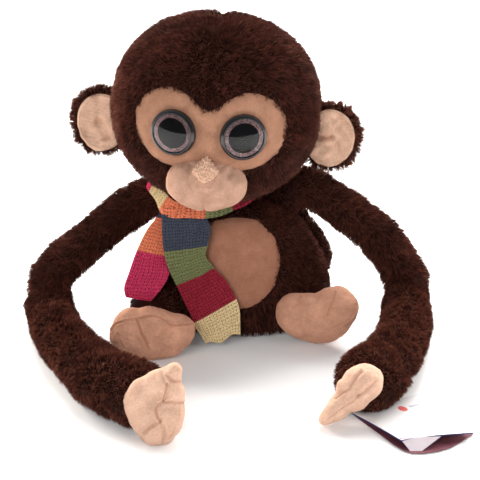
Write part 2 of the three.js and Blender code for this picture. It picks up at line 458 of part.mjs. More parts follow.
// ---------------------------------------------------------------- paper tag and its thread
{
  const { a, b, c, d, e, f, t } = TAG;
  // upper leaf: a rounded outline, laid on a gentle slope
  const outline = [[a[0], a[1]], [b[0], b[1]], [(b[0] + c[0]) / 2, b[1] + 1.5], [c[0], c[1]], [d[0], d[1]], [e[0], e[1]]].reverse();
  const shape = new THREE.Shape(outline.map(([x, y]) => new THREE.Vector2(x, y)));
  const holeAt = (i) => new THREE.Vector2(TAG_HOLE[0] + 1.9 * Math.cos(-(i * Math.PI) / 5), TAG_HOLE[1] + 1.9 * Math.sin(-(i * Math.PI) / 5));
  shape.holes.push(new THREE.Path([0, 1, 2, 3, 4, 5, 6, 7, 8, 9].map(holeAt)));
  const g = new THREE.ExtrudeGeometry(shape, { depth: t, bevelEnabled: false, curveSegments: 8 });
  const pos = g.attributes.position;
  const slope = (x, y) => 0.4 + Math.min(3.9, Math.max(0, -0.1 - 0.15 * (0.826 * (y - a[1]) - 0.564 * (x - a[0])))) + 2.4 * Math.max(0, Math.min(1, (-150 - y) / 45)) * Math.max(0, 1 - Math.abs(x - 104) / 45);
  for (let i = 0; i < pos.count; i++) pos.setZ(i, pos.getZ(i) + slope(pos.getX(i), pos.getY(i)));
  const upper = solid(g);
  // lower leaf: turned down along the front edge, touching the floor, and running back under the upper leaf
  const low = new THREE.Shape([[e[0] - 1, e[1] + 0.6], [f[0] - 6, f[1] + 1], [f[0] + 3, f[1] + 1], [125, -195.7], [121, -176], [104, -178]].map(([x, y]) => new THREE.Vector2(x, y)));
  const g2 = new THREE.ExtrudeGeometry(low, { depth: t, bevelEnabled: false });
  const p2 = g2.attributes.position;
  for (let i = 0; i < p2.count; i++) p2.setZ(i, p2.getZ(i) + 0.5);
  const lower = solid(g2);
  const fold = solid(new THREE.BoxGeometry(16, 1.6, 6).translate(111, -195.6, 3.6));
  add(toy, "tag_card", largest(upper.add(lower).add(fold)), "paper");
  // thread loop from the tag's hole up to the hand's seam
  const line = new THREE.CatmullRomCurve3([[94.5, -150.8, 0.9], [95.4, -154.2, 6], [96.6, -157.4, 12], [96.4, -157.4, 17.5]].map(vec), false, "centripetal");
  const sec = new THREE.Shape();
  for (let i = 0; i < 8; i++) { const q = [Math.cos((i * Math.PI) / 4) * 0.7, Math.sin((i * Math.PI) / 4) * 0.7]; i ? sec.lineTo(...q) : sec.moveTo(...q); }
  add(toy, "tag_fastener", solid(new THREE.ExtrudeGeometry(sec, { steps: 6, bevelEnabled: false, extrudePath: line })), "cord");
}

export default root;
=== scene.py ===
import bpy, json, math
import numpy as np
from mathutils import Vector, Matrix, kdtree


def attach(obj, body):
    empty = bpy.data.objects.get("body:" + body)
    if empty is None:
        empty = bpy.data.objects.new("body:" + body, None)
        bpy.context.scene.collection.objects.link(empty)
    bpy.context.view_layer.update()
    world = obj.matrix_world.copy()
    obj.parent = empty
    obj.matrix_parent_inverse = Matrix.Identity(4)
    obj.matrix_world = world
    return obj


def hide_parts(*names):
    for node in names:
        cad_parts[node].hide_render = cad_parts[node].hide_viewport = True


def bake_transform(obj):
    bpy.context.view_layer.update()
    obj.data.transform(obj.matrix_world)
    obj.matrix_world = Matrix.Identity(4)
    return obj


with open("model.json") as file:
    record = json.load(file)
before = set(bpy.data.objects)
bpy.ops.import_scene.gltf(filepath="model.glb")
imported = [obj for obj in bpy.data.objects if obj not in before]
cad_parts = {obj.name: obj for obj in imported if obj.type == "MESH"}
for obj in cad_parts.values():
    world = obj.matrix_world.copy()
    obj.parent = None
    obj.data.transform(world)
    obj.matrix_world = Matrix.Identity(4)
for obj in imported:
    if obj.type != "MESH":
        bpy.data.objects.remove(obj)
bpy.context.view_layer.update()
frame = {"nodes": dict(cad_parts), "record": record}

# ------------------------------------------------------------------ frame and view
# Tables are in millimetres, in a frame whose origin is O away from the row frame.
O = np.array([-5.19, -60.55, 0.0])
ELEV, DIST, AIM = math.radians(21), 1000.0, 64.0
FOCAL = 480 * 100 / 36.0
EYE = np.array([0, -DIST * math.cos(ELEV), AIM + DIST * math.sin(ELEV)])
FWD = np.array([0, math.cos(ELEV), -math.sin(ELEV)])
UP = np.array([0, math.sin(ELEV), math.cos(ELEV)])


def project(p):
    d = np.asarray(p, float) - EYE
    k = d @ FWD
    return 240 + FOCAL * d[..., 0] / k, 240 - FOCAL * (d @ UP) / k


def ray(u, v):
    return FOCAL * FWD + (u - 240) * np.array([1.0, 0, 0]) + (240 - v) * UP


def on_plane(u, v, c, n):
    r = ray(u, v)
    return EYE + r * (np.dot(np.asarray(c, float) - EYE, n) / np.dot(r, n))


def unit(a):
    a = np.asarray(a, float)
    return a / np.maximum(np.linalg.norm(a, axis=-1, keepdims=True), 1e-12)


# ------------------------------------------------------------------ noise from sines
def sines(seed, wave, count=7):
    r = np.random.default_rng(seed)
    k = unit(r.normal(size=(count, 3))) * (2 * np.pi / wave) * r.uniform(0.7, 1.5, (count, 1))
    ph = r.uniform(0, 2 * np.pi, count)
    return lambda P: np.sin(P @ k.T + ph).sum(-1) / math.sqrt(count / 2.0)


# ------------------------------------------------------------------ surfaces
def orient(V, F):
    a, b, c = V[F[:, 0]], V[F[:, 1]], V[F[:, 2]]
    return F if (a * np.cross(b, c)).sum() > 0 else F[:, ::-1].copy()


def closed(f, nu, nv):
    """A closed surface from f(u, v): u runs round, v from pole to pole."""
    u = np.arange(nu) / nu
    v = np.arange(1, nv) / nv
    U, VV = np.meshgrid(u, v)
    body = f(U.ravel(), VV.ravel())
    poles = f(np.zeros(2), np.array([0.0, 1.0]))
    V = np.vstack([poles[:1], body, poles[1:]])
    idx = 1 + np.arange((nv - 1) * nu).reshape(nv - 1, nu)
    nxt = np.roll(idx, -1, axis=1)
    F = [np.stack([np.zeros(nu, int), idx[0], nxt[0]], 1)]
    a, b, c, d = idx[:-1].ravel(), nxt[:-1].ravel(), nxt[1:].ravel(), idx[1:].ravel()
    F += [np.stack([a, d, b], 1), np.stack([b, d, c], 1)]
    last = len(V) - 1
    F.append(np.stack([np.full(nu, last), nxt[-1], idx[-1]], 1))
    F = np.vstack(F)
    return V, orient(V, F)


def disc(f, nu, nv):
    """An open disc: f(theta, r), r from 0 to 1."""
    th = np.arange(nu) / nu * 2 * np.pi
    r = np.arange(1, nv + 1) / nv
    T, R = np.meshgrid(th, r)
    V = np.vstack([f(np.zeros(1), np.zeros(1)), f(T.ravel(), R.ravel())])
    idx = 1 + np.arange(nv * nu).reshape(nv, nu)
    nxt = np.roll(idx, -1, axis=1)
    F = [np.stack([np.zeros(nu, int), idx[0], nxt[0]], 1)]
    a, b, c, d = idx[:-1].ravel(), nxt[:-1].ravel(), nxt[1:].ravel(), idx[1:].ravel()
    F += [np.stack([a, d, b], 1), np.stack([b, d, c], 1)]
    return V, np.vstack(F)


def face_out(V, F, towards):
    """Turns an open surface so that it faces a direction."""
    n = np.cross(V[F[:, 1]] - V[F[:, 0]], V[F[:, 2]] - V[F[:, 0]]).sum(0)
    return F if n @ np.asarray(towards, float) > 0 else F[:, ::-1].copy()


def normals(V, F):
    n = np.cross(V[F[:, 1]] - V[F[:, 0]], V[F[:, 2]] - V[F[:, 0]])
    N = np.zeros_like(V)
    for k in range(3):
        np.add.at(N, F[:, k], n)
    return unit(N)


def super_dir(d, semi, n):
    s = (np.abs(d / np.asarray(semi, float)) ** np.asarray(n)[..., None] if np.ndim(n) else np.abs(d / np.asarray(semi, float)) ** n).sum(-1)
    return s ** (-1.0 / n)


def blob(c, semi, nu, nv, n=2.0, axes=None):
    def f(u, v):
        th, ph = 2 * np.pi * u, np.pi * v
        d = np.stack([np.sin(ph) * np.cos(th), np.sin(ph) * np.sin(th), np.cos(ph)], -1)
        m = n(d) if callable(n) else n
        p = d * super_dir(d, semi, m)[:, None]
        if axes is not None:
            p = p @ np.asarray(axes)
        return p + np.asarray(c, float)
    return closed(f, nu, nv)


def catmull(P, t):
    """three.js's centripetal curve through P, at t from 0 to len(P) - 1."""
    P = np.asarray(P, float)
    k = len(P)
    E = np.vstack([2 * P[0] - P[1], P, 2 * P[-1] - P[-2]])
    i = np.clip(np.floor(t).astype(int), 0, k - 2)
    w = (t - i)[:, None]
    x0, x1, x2, x3 = E[i], E[i + 1], E[i + 2], E[i + 3]
    q = lambda a, b: np.maximum(np.linalg.norm(a[:, :3] - b[:, :3], axis=1), 1e-9)[:, None] ** 0.5
    d0, d1, d2 = q(x0, x1), q(x1, x2), q(x2, x3)
    t1 = ((x1 - x0) / d0 - (x2 - x0) / (d0 + d1) + (x2 - x1) / d1) * d1
    t2 = ((x2 - x1) / d1 - (x3 - x1) / (d1 + d2) + (x3 - x2) / d2) * d1
    return x1 + t1 * w + (-3 * x1 + 3 * x2 - 2 * t1 - t2) * w ** 2 + (2 * x1 - 2 * x2 + t1 + t2) * w ** 3


def limb(points, nu, nv, off=0.0, ends=(1, 1)):
    """A round limb with half-ball ends. Returns vertices, faces, the direction along the limb and the place along it."""
    P = np.asarray(points, float)
    N = 300
    t = np.linspace(0, len(P) - 1, N + 1)
    C = catmull(P[:, :3], t)
    R = np.interp(t, np.arange(len(P)), P[:, 3]) + off
    L = np.concatenate([[0], np.cumsum(np.linalg.norm(np.diff(C, axis=0), axis=1))])
    T = unit(np.gradient(C, axis=0))
    n = unit(np.cross([0, 0, 1.0], T[0]))
    fr = [n]
    for k in range(1, N + 1):
        n = n - T[k] * (n @ T[k])
        n = unit(n)
        fr.append(n)
    FR = np.array(fr)
    total = L[-1]
    r0, r1 = R[0], R[-1]
    span = total + r0 * ends[0] + r1 * ends[1]

    def f(u, v):
        s = v * span - r0 * ends[0]
        core = np.clip(s, 0, total)
        c = np.stack([np.interp(core, L, C[:, i]) for i in range(3)], -1)
        tt = unit(np.stack([np.interp(core, L, T[:, i]) for i in range(3)], -1))
        nn = unit(np.stack([np.interp(core, L, FR[:, i]) for i in range(3)], -1))
        ww = np.cross(tt, nn)
        rr = np.interp(core, L, R)
        a0 = np.clip(-s / max(r0, 1e-6), 0, 1)
        a1 = np.clip((s - total) / max(r1, 1e-6), 0, 1)
        k = np.sqrt(np.clip(1 - np.maximum(a0, a1) ** 2, 0, 1))
        ax = -a0 * r0 * ends[0] + a1 * r1 * ends[1]
        th = 2 * np.pi * u
        return c + tt * ax[:, None] + (nn * np.cos(th)[:, None] + ww * np.sin(th)[:, None]) * (rr * k)[:, None]

    V, F = closed(f, nu, nv)
    v = np.concatenate([[0.0], np.repeat(np.arange(1, nv) / nv, nu), [1.0]])
    s = np.clip(v * span - r0 * ends[0], 0, total)
    D = unit(np.stack([np.interp(s, L, T[:, i]) for i in range(3)], -1))
    return V, F, D, s / total


def rows(table, nu, nv, off=0.0, n=2.15):
    T = np.asarray(table, float)

    def f(u, v):
        t = v * (len(T) - 1)
        q = catmull(T, t)
        z = np.clip(np.interp(t, np.arange(len(T)), T[:, 0]) * 0.35 + q[:, 0] * 0.65, 0, T[-1, 0])
        ax, ay = np.maximum(q[:, 1] + off * (q[:, 1] > 1), 0), np.maximum(q[:, 2] + off * (q[:, 2] > 1), 0)
        th = 2 * np.pi * u
        c, s = np.cos(th), np.sin(th)
        k = (np.abs(c) ** n + np.abs(s) ** n) ** (-1 / n)
        return np.stack([q[:, 3] + ax * c * k, q[:, 4] + ay * s * k, z], -1)
    return closed(f, nu, nv)


# ------------------------------------------------------------------ meshes
def mesh(name, V, F, mats, index=None, smooth=True, mm=True):
    V = np.asarray(V, float)
    if mm:
        V = (V - O) * 0.001
    F = np.asarray(F)
    me = bpy.data.meshes.new(name)
    k = F.shape[1]
    me.vertices.add(len(V))
    me.vertices.foreach_set("co", V.astype(np.float32).ravel())
    me.loops.add(len(F) * k)
    me.loops.foreach_set("vertex_index", F.astype(np.int32).ravel())
    me.polygons.add(len(F))
    me.polygons.foreach_set("loop_start", (np.arange(len(F)) * k).astype(np.int32))
    me.polygons.foreach_set("loop_total", np.full(len(F), k, np.int32))
    me.polygons.foreach_set("use_smooth", np.full(len(F), smooth))
    for m in mats if isinstance(mats, (list, tuple)) else [mats]:
        me.materials.append(m)
    if index is not None:
        me.polygons.foreach_set("material_index", np.asarray(index, np.int32))
    me.update(calc_edges=True)
    ob = bpy.data.objects.new(name, me)
    bpy.context.scene.collection.objects.link(ob)
    return ob


def put(name, V, F, mats, body, replaces=(), index=None, bend=None, smooth=True):
    ob = mesh(name, V, F, mats, index, smooth)
    if bend:
        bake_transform(ob)
    else:
        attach(ob, body)
    if replaces:
        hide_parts(*replaces)
    return ob


# ------------------------------------------------------------------ materials
def material(name, **sockets):
    m = bpy.data.materials.new(name)
    m.use_nodes = True
    b = m.node_tree.nodes["Principled BSDF"]
    for k, v in sockets.items():
        b.inputs[k.replace("_", " ")].default_value = v
    return m, m.node_tree, b


def lin(r, g, b):
    f = lambda x: (x / 255) / 12.92 if x <= 10 else (((x / 255) + 0.055) / 1.055) ** 2.4
    return (f(r), f(g), f(b), 1)


def scaled(c, k):
    return tuple(min(1, x * k) for x in c[:3]) + (1,)


def cloth(name, rgb, blotch=0.16, fine=0.10, bump=0.25, sheen=0.35, tint=None, blotch_scale=110, fine_scale=900, rough=0.92):
    """Short nap: a mottled pile with fine grain."""
    c = lin(*rgb)
    m, t, b = material(name, Roughness=rough, Sheen_Weight=sheen, Sheen_Roughness=0.45, Sheen_Tint=tint or scaled(c, 1.35), Specular_IOR_Level=0.2)
    co = t.nodes.new("ShaderNodeTexCoord")
    big = t.nodes.new("ShaderNodeTexNoise"); big.inputs["Scale"].default_value = blotch_scale; big.inputs["Detail"].default_value = 4
    small = t.nodes.new("ShaderNodeTexNoise"); small.inputs["Scale"].default_value = fine_scale; small.inputs["Detail"].default_value = 3
    t.links.new(co.outputs["Object"], big.inputs["Vector"]); t.links.new(co.outputs["Object"], small.inputs["Vector"])
    r1 = t.nodes.new("ShaderNodeValToRGB")
    r1.color_ramp.elements[0].position, r1.color_ramp.elements[1].position = 0.32, 0.68
    r1.color_ramp.elements[0].color = scaled((c[0], c[1] * 0.97, c[2] * 0.94), 1 - blotch)
    r1.color_ramp.elements[1].color = scaled(c, 1 + blotch * 0.7)
    r2 = t.nodes.new("ShaderNodeValToRGB")
    r2.color_ramp.elements[0].position, r2.color_ramp.elements[1].position = 0.3, 0.7
    r2.color_ramp.elements[0].color = (1 - fine * 2,) * 3 + (1,)
    r2.color_ramp.elements[1].color = (1, 1, 1, 1)
    mx = t.nodes.new("ShaderNodeMix"); mx.data_type = "RGBA"; mx.blend_type = "MULTIPLY"; mx.inputs[0].default_value = 1.0
    t.links.new(big.outputs["Fac"], r1.inputs["Fac"]); t.links.new(small.outputs["Fac"], r2.inputs["Fac"])
    t.links.new(r1.outputs["Color"], mx.inputs[6]); t.links.new(r2.outputs["Color"], mx.inputs[7])
    t.links.new(mx.outputs[2], b.inputs["Base Color"])
    bp = t.nodes.new("ShaderNodeBump"); bp.inputs["Strength"].default_value = bump; bp.inputs["Distance"].default_value = 0.0006
    t.links.new(small.outputs["Fac"], bp.inputs["Height"]); t.links.new(bp.outputs["Normal"], b.inputs["Normal"])
    return m


def fibre(name, rgb, sheen=0.25, rough=0.62):
    m, t, b = material(name, Base_Color=rgb, Roughness=rough, Sheen_Weight=sheen, Sheen_Roughness=0.4, Sheen_Tint=(1.0, 0.42, 0.26, 1), Specular_IOR_Level=0.14)
    return m


M = {}
M["skin_fur"] = cloth("fur_backing", (40, 17, 13), blotch=0.3, sheen=0.1)
# Six strand tones, dark to light. Each strand is darker at the root and middle and lighter at the tip. The dark roots
# are painted shade deep in the pile, and the lighter tips are partly the fibre's own tone and partly painted rim light.
TONES = [fibre(f"fur_strand_{i}", c) for i, c in enumerate([
    (0.012, 0.0042, 0.0034, 1), (0.030, 0.0092, 0.0070, 1), (0.054, 0.0160, 0.0115, 1), (0.086, 0.0250, 0.0175, 1), (0.130, 0.0395, 0.0270, 1), (0.200, 0.0680, 0.0430, 1)])]
M["face"] = cloth("face_nap", (170, 126, 102))
M["muzzle"] = cloth("muzzle_nap", (190, 151, 130))
M["nose"] = cloth("nose_nap", (230, 189, 163), blotch=0.12, fine=0.16, bump=0.6, blotch_scale=420, fine_scale=1500)
M["hand"] = cloth("hand_nap", (212, 175, 153), blotch=0.12)
M["foot"] = cloth("foot_nap", (203, 152, 127))
M["belly"] = cloth("belly_nap", (164, 115, 93), blotch=0.12)
M["ear"] = cloth("ear_nap", (214, 176, 152), blotch=0.14)
M["stuffing"] = cloth("polyester_fibre", (236, 234, 228), blotch=0.05, bump=0.5)
M["pouch"] = cloth("pellet_bag_weave", (208, 204, 192), blotch=0.08, bump=0.5)
m, t, b = material("eye_rim_plastic", Base_Color=(0.011, 0.011, 0.013, 1), Roughness=0.2, Specular_IOR_Level=0.45, Coat_Weight=0.3, Coat_Roughness=0.06)
n1 = t.nodes.new("ShaderNodeTexNoise"); n1.inputs["Scale"].default_value = 260; co = t.nodes.new("ShaderNodeTexCoord")
bp = t.nodes.new("ShaderNodeBump"); bp.inputs["Strength"].default_value = 0.04; bp.inputs["Distance"].default_value = 0.0004
t.links.new(co.outputs["Object"], n1.inputs["Vector"]); t.links.new(n1.outputs["Fac"], bp.inputs["Height"]); t.links.new(bp.outputs["Normal"], b.inputs["Normal"])
M["rim"] = m
m, t, b = material("eye_glitter_film", Roughness=0.32, Metallic=0.35, Specular_IOR_Level=0.7)
co = t.nodes.new("ShaderNodeTexCoord"); vo = t.nodes.new("ShaderNodeTexVoronoi"); vo.inputs["Scale"].default_value = 1500
rp = t.nodes.new("ShaderNodeValToRGB")
for e, (p, c) in zip(rp.color_ramp.elements, [(0.0, lin(56, 38, 41)), (1.0, lin(158, 120, 121))]):
    e.position, e.color = p, c
e = rp.color_ramp.elements.new(0.55); e.color = lin(108, 78, 80)
sp = t.nodes.new("ShaderNodeSeparateColor")
t.links.new(co.outputs["Object"], vo.inputs["Vector"]); t.links.new(vo.outputs["Color"], sp.inputs["Color"]); t.links.new(sp.outputs[0], rp.inputs["Fac"]); t.links.new(rp.outputs["Color"], b.inputs["Base Color"])
M["glitter"] = m
m, t, b = material("eye_pupil_film", Base_Color=(0.003, 0.003, 0.004, 1), Roughness=0.5, Specular_IOR_Level=0.05)
M["pupil"] = m
m, t, b = material("eye_clear_dome", Base_Color=(1, 1, 1, 1), Metallic=1.0, Roughness=0.015)
fr = t.nodes.new("ShaderNodeFresnel"); fr.inputs["IOR"].default_value = 1.37
t.links.new(fr.outputs["Fac"], b.inputs["Alpha"])
M["dome"] = m
m, t, b = material("washer_plastic", Base_Color=(0.72, 0.72, 0.69, 1), Roughness=0.5)
M["washer"] = m
m, t, b = material("stitch_thread", Base_Color=(0.30, 0.16, 0.10, 1), Roughness=0.8)
M["stitch"] = m
m, t, b = material("dark_thread", Base_Color=(0.006, 0.005, 0.006, 1), Roughness=0.55)
M["dark_thread"] = m

# ------------------------------------------------------------------ fur
fur_count = 0


def hashed(P, seed):
    return np.random.default_rng(seed).random(len(P))


def scatter(V, F, per_cm2, seed, fields):
    """Evenly random points on a surface, with the vertex fields interpolated."""
    r = np.random.default_rng(seed)
    a, b, c = V[F[:, 0]], V[F[:, 1]], V[F[:, 2]]
    area = np.linalg.norm(np.cross(b - a, c - a), axis=1) / 2
    n = int(area.sum() / 100.0 * per_cm2)
    f = r.choice(len(F), n, p=area / area.sum())
    s, t = r.random(n), r.random(n)
    s = np.sqrt(s)
    w = np.stack([1 - s, s * (1 - t), s * t], 1)
    out = []
    for X in fields:
        X = np.asarray(X, float)
        out.append((X[F[f]] * (w[:, :, None] if X.ndim == 2 else w)).sum(1))
    return out


def fur(name, V, F, comb, per_cm2=170, length=5.4, keep=None, body=None, bend=None, seed=1, lean=0.36, width=0.42, clump=0.27, stray=0.17, tone=0.0, cell=3.2, rise=1.0):
    """Pile: flat tapered strands rooted on a skin, combed, clumped and curved, as one mesh."""
    global fur_count
    N = normals(V, F)
    keep = np.ones(len(V)) if keep is None else keep
    L = np.full(len(V), length, float) if np.ndim(length) == 0 else length
    dens = 1.0
    T = np.full(len(V), tone, float) if np.ndim(tone) == 0 else tone
    P, n, c, l, k, tn = scatter(V, F, per_cm2 * dens, seed, [V, N, comb, L, keep, T])
    r = np.random.default_rng(seed + 1000)
    n = unit(n)
    c = c - n * (c * n).sum(1, keepdims=True)
    clen = np.linalg.norm(c, axis=1, keepdims=True)
    c = c / np.maximum(clen, 1e-6) * np.minimum(1, clen)
    ok = (r.random(len(P)) < k) & ~((n[:, 2] < -0.8) & (P[:, 2] < 3))
    P, n, c, l, tn = P[ok], n[ok], c[ok], l[ok], tn[ok]
    m = len(P)
    l = l * r.uniform(0.86, 1.08, m)
    swirl = np.stack([sines(seed + 11 + i, 26)(P) for i in range(3)], -1) * 0.13 + np.stack([sines(seed + 31 + i, 9)(P) for i in range(3)], -1) * 0.15
    d0 = unit(n * (1 - lean * 0.8) * rise + c * lean + swirl + r.normal(size=(m, 3)) * stray * 0.5)
    flip = (d0 * n).sum(1) < 0.12
    d0[flip] = unit(d0[flip] + n[flip] * 0.5)
    d1 = unit(d0 + c * lean * 0.7 + n * -0.05 + r.normal(size=(m, 3)) * stray * 0.35)
    flip = (d1 * n).sum(1) < -0.15
    d1[flip] = unit(d1[flip] + n[flip] * 0.4)
    root = P - n * 0.8
    mid = root + d0 * (l * 0.55)[:, None]
    tip = mid + d1 * (l * 0.50)[:, None]
    # clumps: every strand leans to the nearest of a sparse set of strands
    step = max(4, int(per_cm2 * dens * cell * cell / 100.0 * 0.7))
    lead = np.arange(0, m, step)
    tree = kdtree.KDTree(len(lead))
    for i, j in enumerate(lead):
        tree.insert(P[j], i)
    tree.balance()
    near = np.fromiter((tree.find(p)[1] for p in P), int, m)
    g = lead[near]
    amount = clump * r.uniform(0.6, 1.2, m)[:, None]
    mid = mid + (mid[g] - mid) * amount * 0.35
    tip = tip + (tip[g] - tip) * amount
    side = unit(np.cross(d0, unit(r.normal(size=(m, 3)) + n * 0.2)))
    w = width * 1.0 * r.uniform(0.75, 1.25, m)[:, None]
    B = np.stack([root - side * w * 0.5, root + side * w * 0.5, mid - side * w * 0.46, mid + side * w * 0.46, tip], 1)
    B[..., 2] = np.maximum(B[..., 2], 0.25 + 0.4 * r.random((m, 1)))
    # Strand tone comes from noise, clumps and the tone field. The root and middle take the darker tone (painted shade
    # in the pile) and the tip the lighter one (partly painted rim light).
    q = 0.35 * sines(seed + 51, 42)(P) + 0.40 * sines(seed + 52, 12)(P) + 0.60 * r.normal(size=m) + tn
    q += 0.9 * (hashed(lead, seed + 5)[near] - 0.5)
    low = np.clip(np.round(1.0 + 0.5 * q), 0, 2).astype(int)
    high = np.clip(np.round(2.75 + 0.85 * q), 1, 5).astype(int)
    base = np.arange(m)[:, None] * 5
    tris = np.stack([base + [0, 1, 3], base + [0, 3, 2], base + [2, 3, 4]], 1).reshape(-1, 3)
    index = np.stack([low, low, high], 1).ravel()
    fur_count += m
    pieces = max(1, int(math.ceil(len(tris) / 190000)))
    made = []
    for i in range(pieces):
        s0, s1 = m * i // pieces, m * (i + 1) // pieces
        ob = mesh(name if pieces == 1 else f"{name}_{i + 1}", B[s0:s1].reshape(-1, 3), tris[s0 * 3:s1 * 3] - s0 * 5, TONES, index[s0 * 3:s1 * 3], smooth=False)
        if bend:
            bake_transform(ob)
        else:
            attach(ob, body)
        made.append(ob)
    return made


# ------------------------------------------------------------------ tables of the toy
HEAD_POS = np.array([-17.0, -8, 168]); HEAD_SEMI = (73.0, 64, 67)
HY, HR = math.radians(-4), math.radians(3)
RZ = np.array([[math.cos(HY), -math.sin(HY), 0], [math.sin(HY), math.cos(HY), 0], [0, 0, 1]])
RY = np.array([[math.cos(HR), 0, math.sin(HR)], [0, 1, 0], [-math.sin(HR), 0, math.cos(HR)]])
HM = RZ @ RY


def head(p):
    return np.asarray(p, float) @ HM.T + HEAD_POS


TORSO = [[0, 0, 0, 0, 8], [0, 46, 34, 0, 8], [4, 57, 44, 0, 8], [15, 64, 49.5, 0, 8], [28, 66, 50.5, 0, 8], [43, 62.5, 50, 0, 8], [60, 55.5, 45.5, -1.6, 8],
         [76, 47, 39.5, -4.2, 7], [87.5, 37.5, 31.5, -7.3, 5], [94, 22.5, 21.5, -10.4, 2.4], [98.5, 0, 0, -12, 0]]
ARM = {
    "right": dict(upper=[[-40, 13, 84, 12], [-54, 11, 91.5, 13], [-66, 10, 94.5, 13.5], [-80, 9, 88, 13.5], [-93.5, 6, 78.6, 13.5], [-108.5, 2, 67, 13.7], [-125.6, -2, 54, 14], [-137.5, -5, 42, 14.4], [-143.5, -8, 31, 14.8], [-144, -9, 21.5, 15]],
                  fore=[[-144, -9, 21.5, 15], [-142, -24, 17.5, 15.6], [-136.8, -43, 16.6, 16], [-125.4, -75.5, 17, 16.5], [-109, -108.5, 17.8, 17.3], [-95, -133, 18.6, 18.6], [-81, -150.5, 19.4, 20], [-68, -161.5, 20, 21.3]]),
    "left": dict(upper=[[27, 13, 88, 12], [38, 12.5, 98, 12.5], [49.5, 11, 103, 13.2], [60.4, 10, 97.6, 13.5], [74.8, 8, 88.5, 13.5], [89.5, 5, 78.4, 13.7], [104.4, 2, 66, 14], [116, 0, 51.5, 14.4], [124.5, 0, 36, 14.8], [126.5, 0, 21.5, 15]],
                 fore=[[126.5, 0, 21.5, 15], [125.5, -14, 18, 15.6], [123.6, -30.8, 17.2, 16.3], [119.4, -56, 17.2, 16.8], [112.4, -85, 17.9, 17.3], [100.5, -115, 18.6, 18.4], [92.5, -131, 19.4, 20], [86, -141, 20, 21.3]])}
LEG = {"right": [[-47, -17, 24.5, 21], [-53, -27, 23, 20.5], [-59, -37, 21.5, 20], [-64, -45, 20.4, 19]],
       "left": [[40, -8, 25, 20], [45, -12, 24, 20], [50, -17, 22, 20], [54, -21, 21, 18.5]]}
TAIL = [[8, 55, 20, 10], [20, 67, 15, 10], [40, 74, 12, 9.5], [60, 68, 15, 9], [64.5, 56.5, 28, 8.6], [58.5, 50, 46, 8.3], [48.5, 48, 62, 8], [41.5, 48, 72, 7]]

# ------------------------------------------------------------------ hands and feet: pillows cut to an outline
def smooth_outline(pts, c2, sharp=2):
    d = np.asarray(pts, float) - c2
    th, r = np.arctan2(d[:, 1], d[:, 0]), np.hypot(d[:, 0], d[:, 1])
    o_ = np.argsort(th); th, r = th[o_], r[o_]
    T_ = np.linspace(-np.pi, np.pi, 361)[:-1]
    R_ = np.interp(T_, np.r_[th[-1] - 2 * np.pi, th, th[0] + 2 * np.pi], np.r_[r[-1], r, r[0]])
    k_ = np.exp(-0.5 * (np.arange(-12, 13) / (2.2 * sharp)) ** 2); k_ /= k_.sum()
    R_ = np.convolve(np.r_[R_[-12:], R_, R_[:12]], k_, "valid")
    return lambda t_: np.interp((t_ + np.pi) % (2 * np.pi) - np.pi, np.r_[T_, np.pi], np.r_[R_, R_[0]])


def pillow(outline, c, normal, thick, nu=280, nv=170, full=0.72, back=None, sharp=2):
    """A stuffed piece whose outline, seen by the viewer, is given in picture coordinates, on a plane through c."""
    n = unit(normal)
    ax = unit(np.cross([0, 0, 1.0], n)); ay = np.cross(n, ax)
    c = np.asarray(c, float)
    pts = np.array([on_plane(u, v, c, n) - c for u, v in outline])
    p2 = np.stack([pts @ ax, pts @ ay], -1)
    c2 = (p2.max(0) + p2.min(0)) / 2
    R = smooth_outline(p2, c2, sharp)

    def f(u, v):
        th, ph = 2 * np.pi * u - np.pi, np.pi * v
        r = R(th) * np.sin(ph) ** full
        d = np.cos(ph)
        t_ = np.where(d > 0, thick, thick if back is None else back)
        return c + ((c2[0] + r * np.cos(th))[:, None] * ax + (c2[1] + r * np.sin(th))[:, None] * ay) + (np.sign(d) * np.abs(d) ** 0.9 * t_)[:, None] * n
    return closed(f, nu, nv)


def near_line(P, pts):
    """Distance in the picture from each point to a line."""
    u, v = project(P)
    best = np.full(len(P), 1e9)
    pts = np.asarray(pts, float)
    for a, b in zip(pts[:-1], pts[1:]):
        d = b - a
        t_ = np.clip(((u - a[0]) * d[0] + (v - a[1]) * d[1]) / max(d @ d, 1e-9), 0, 1)
        best = np.minimum(best, np.hypot(u - a[0] - t_ * d[0], v - a[1] - t_ * d[1]))
    return best


def carve(V, F, lines, lumps=(), seed=1, rough=0.25):
    """Grooves and lumps placed on the side that the viewer sees, in picture coordinates."""
    N = normals(V, F)
    see = np.clip((N @ -FWD) * 3 + 0.3, 0, 1)
    h = rough * sines(seed, 11)(V) + rough * 0.4 * sines(seed + 1, 4)(V)
    for pts, depth, wide in lines:
        d = near_line(V, pts)
        h -= see * depth * np.exp(-(d / wide) ** 2)
        h += see * depth * 0.28 * np.exp(-((d - wide * 2.1) / (wide * 1.1)) ** 2)
    u, v = project(V)
    for (x, y), high, wide in lumps:
        h += see * high * np.exp(-(((u - x) ** 2 + (v - y) ** 2) / wide ** 2))
    V = V + N * h[:, None]
    V[:, 2] = np.maximum(V[:, 2], 0.4)
    return V


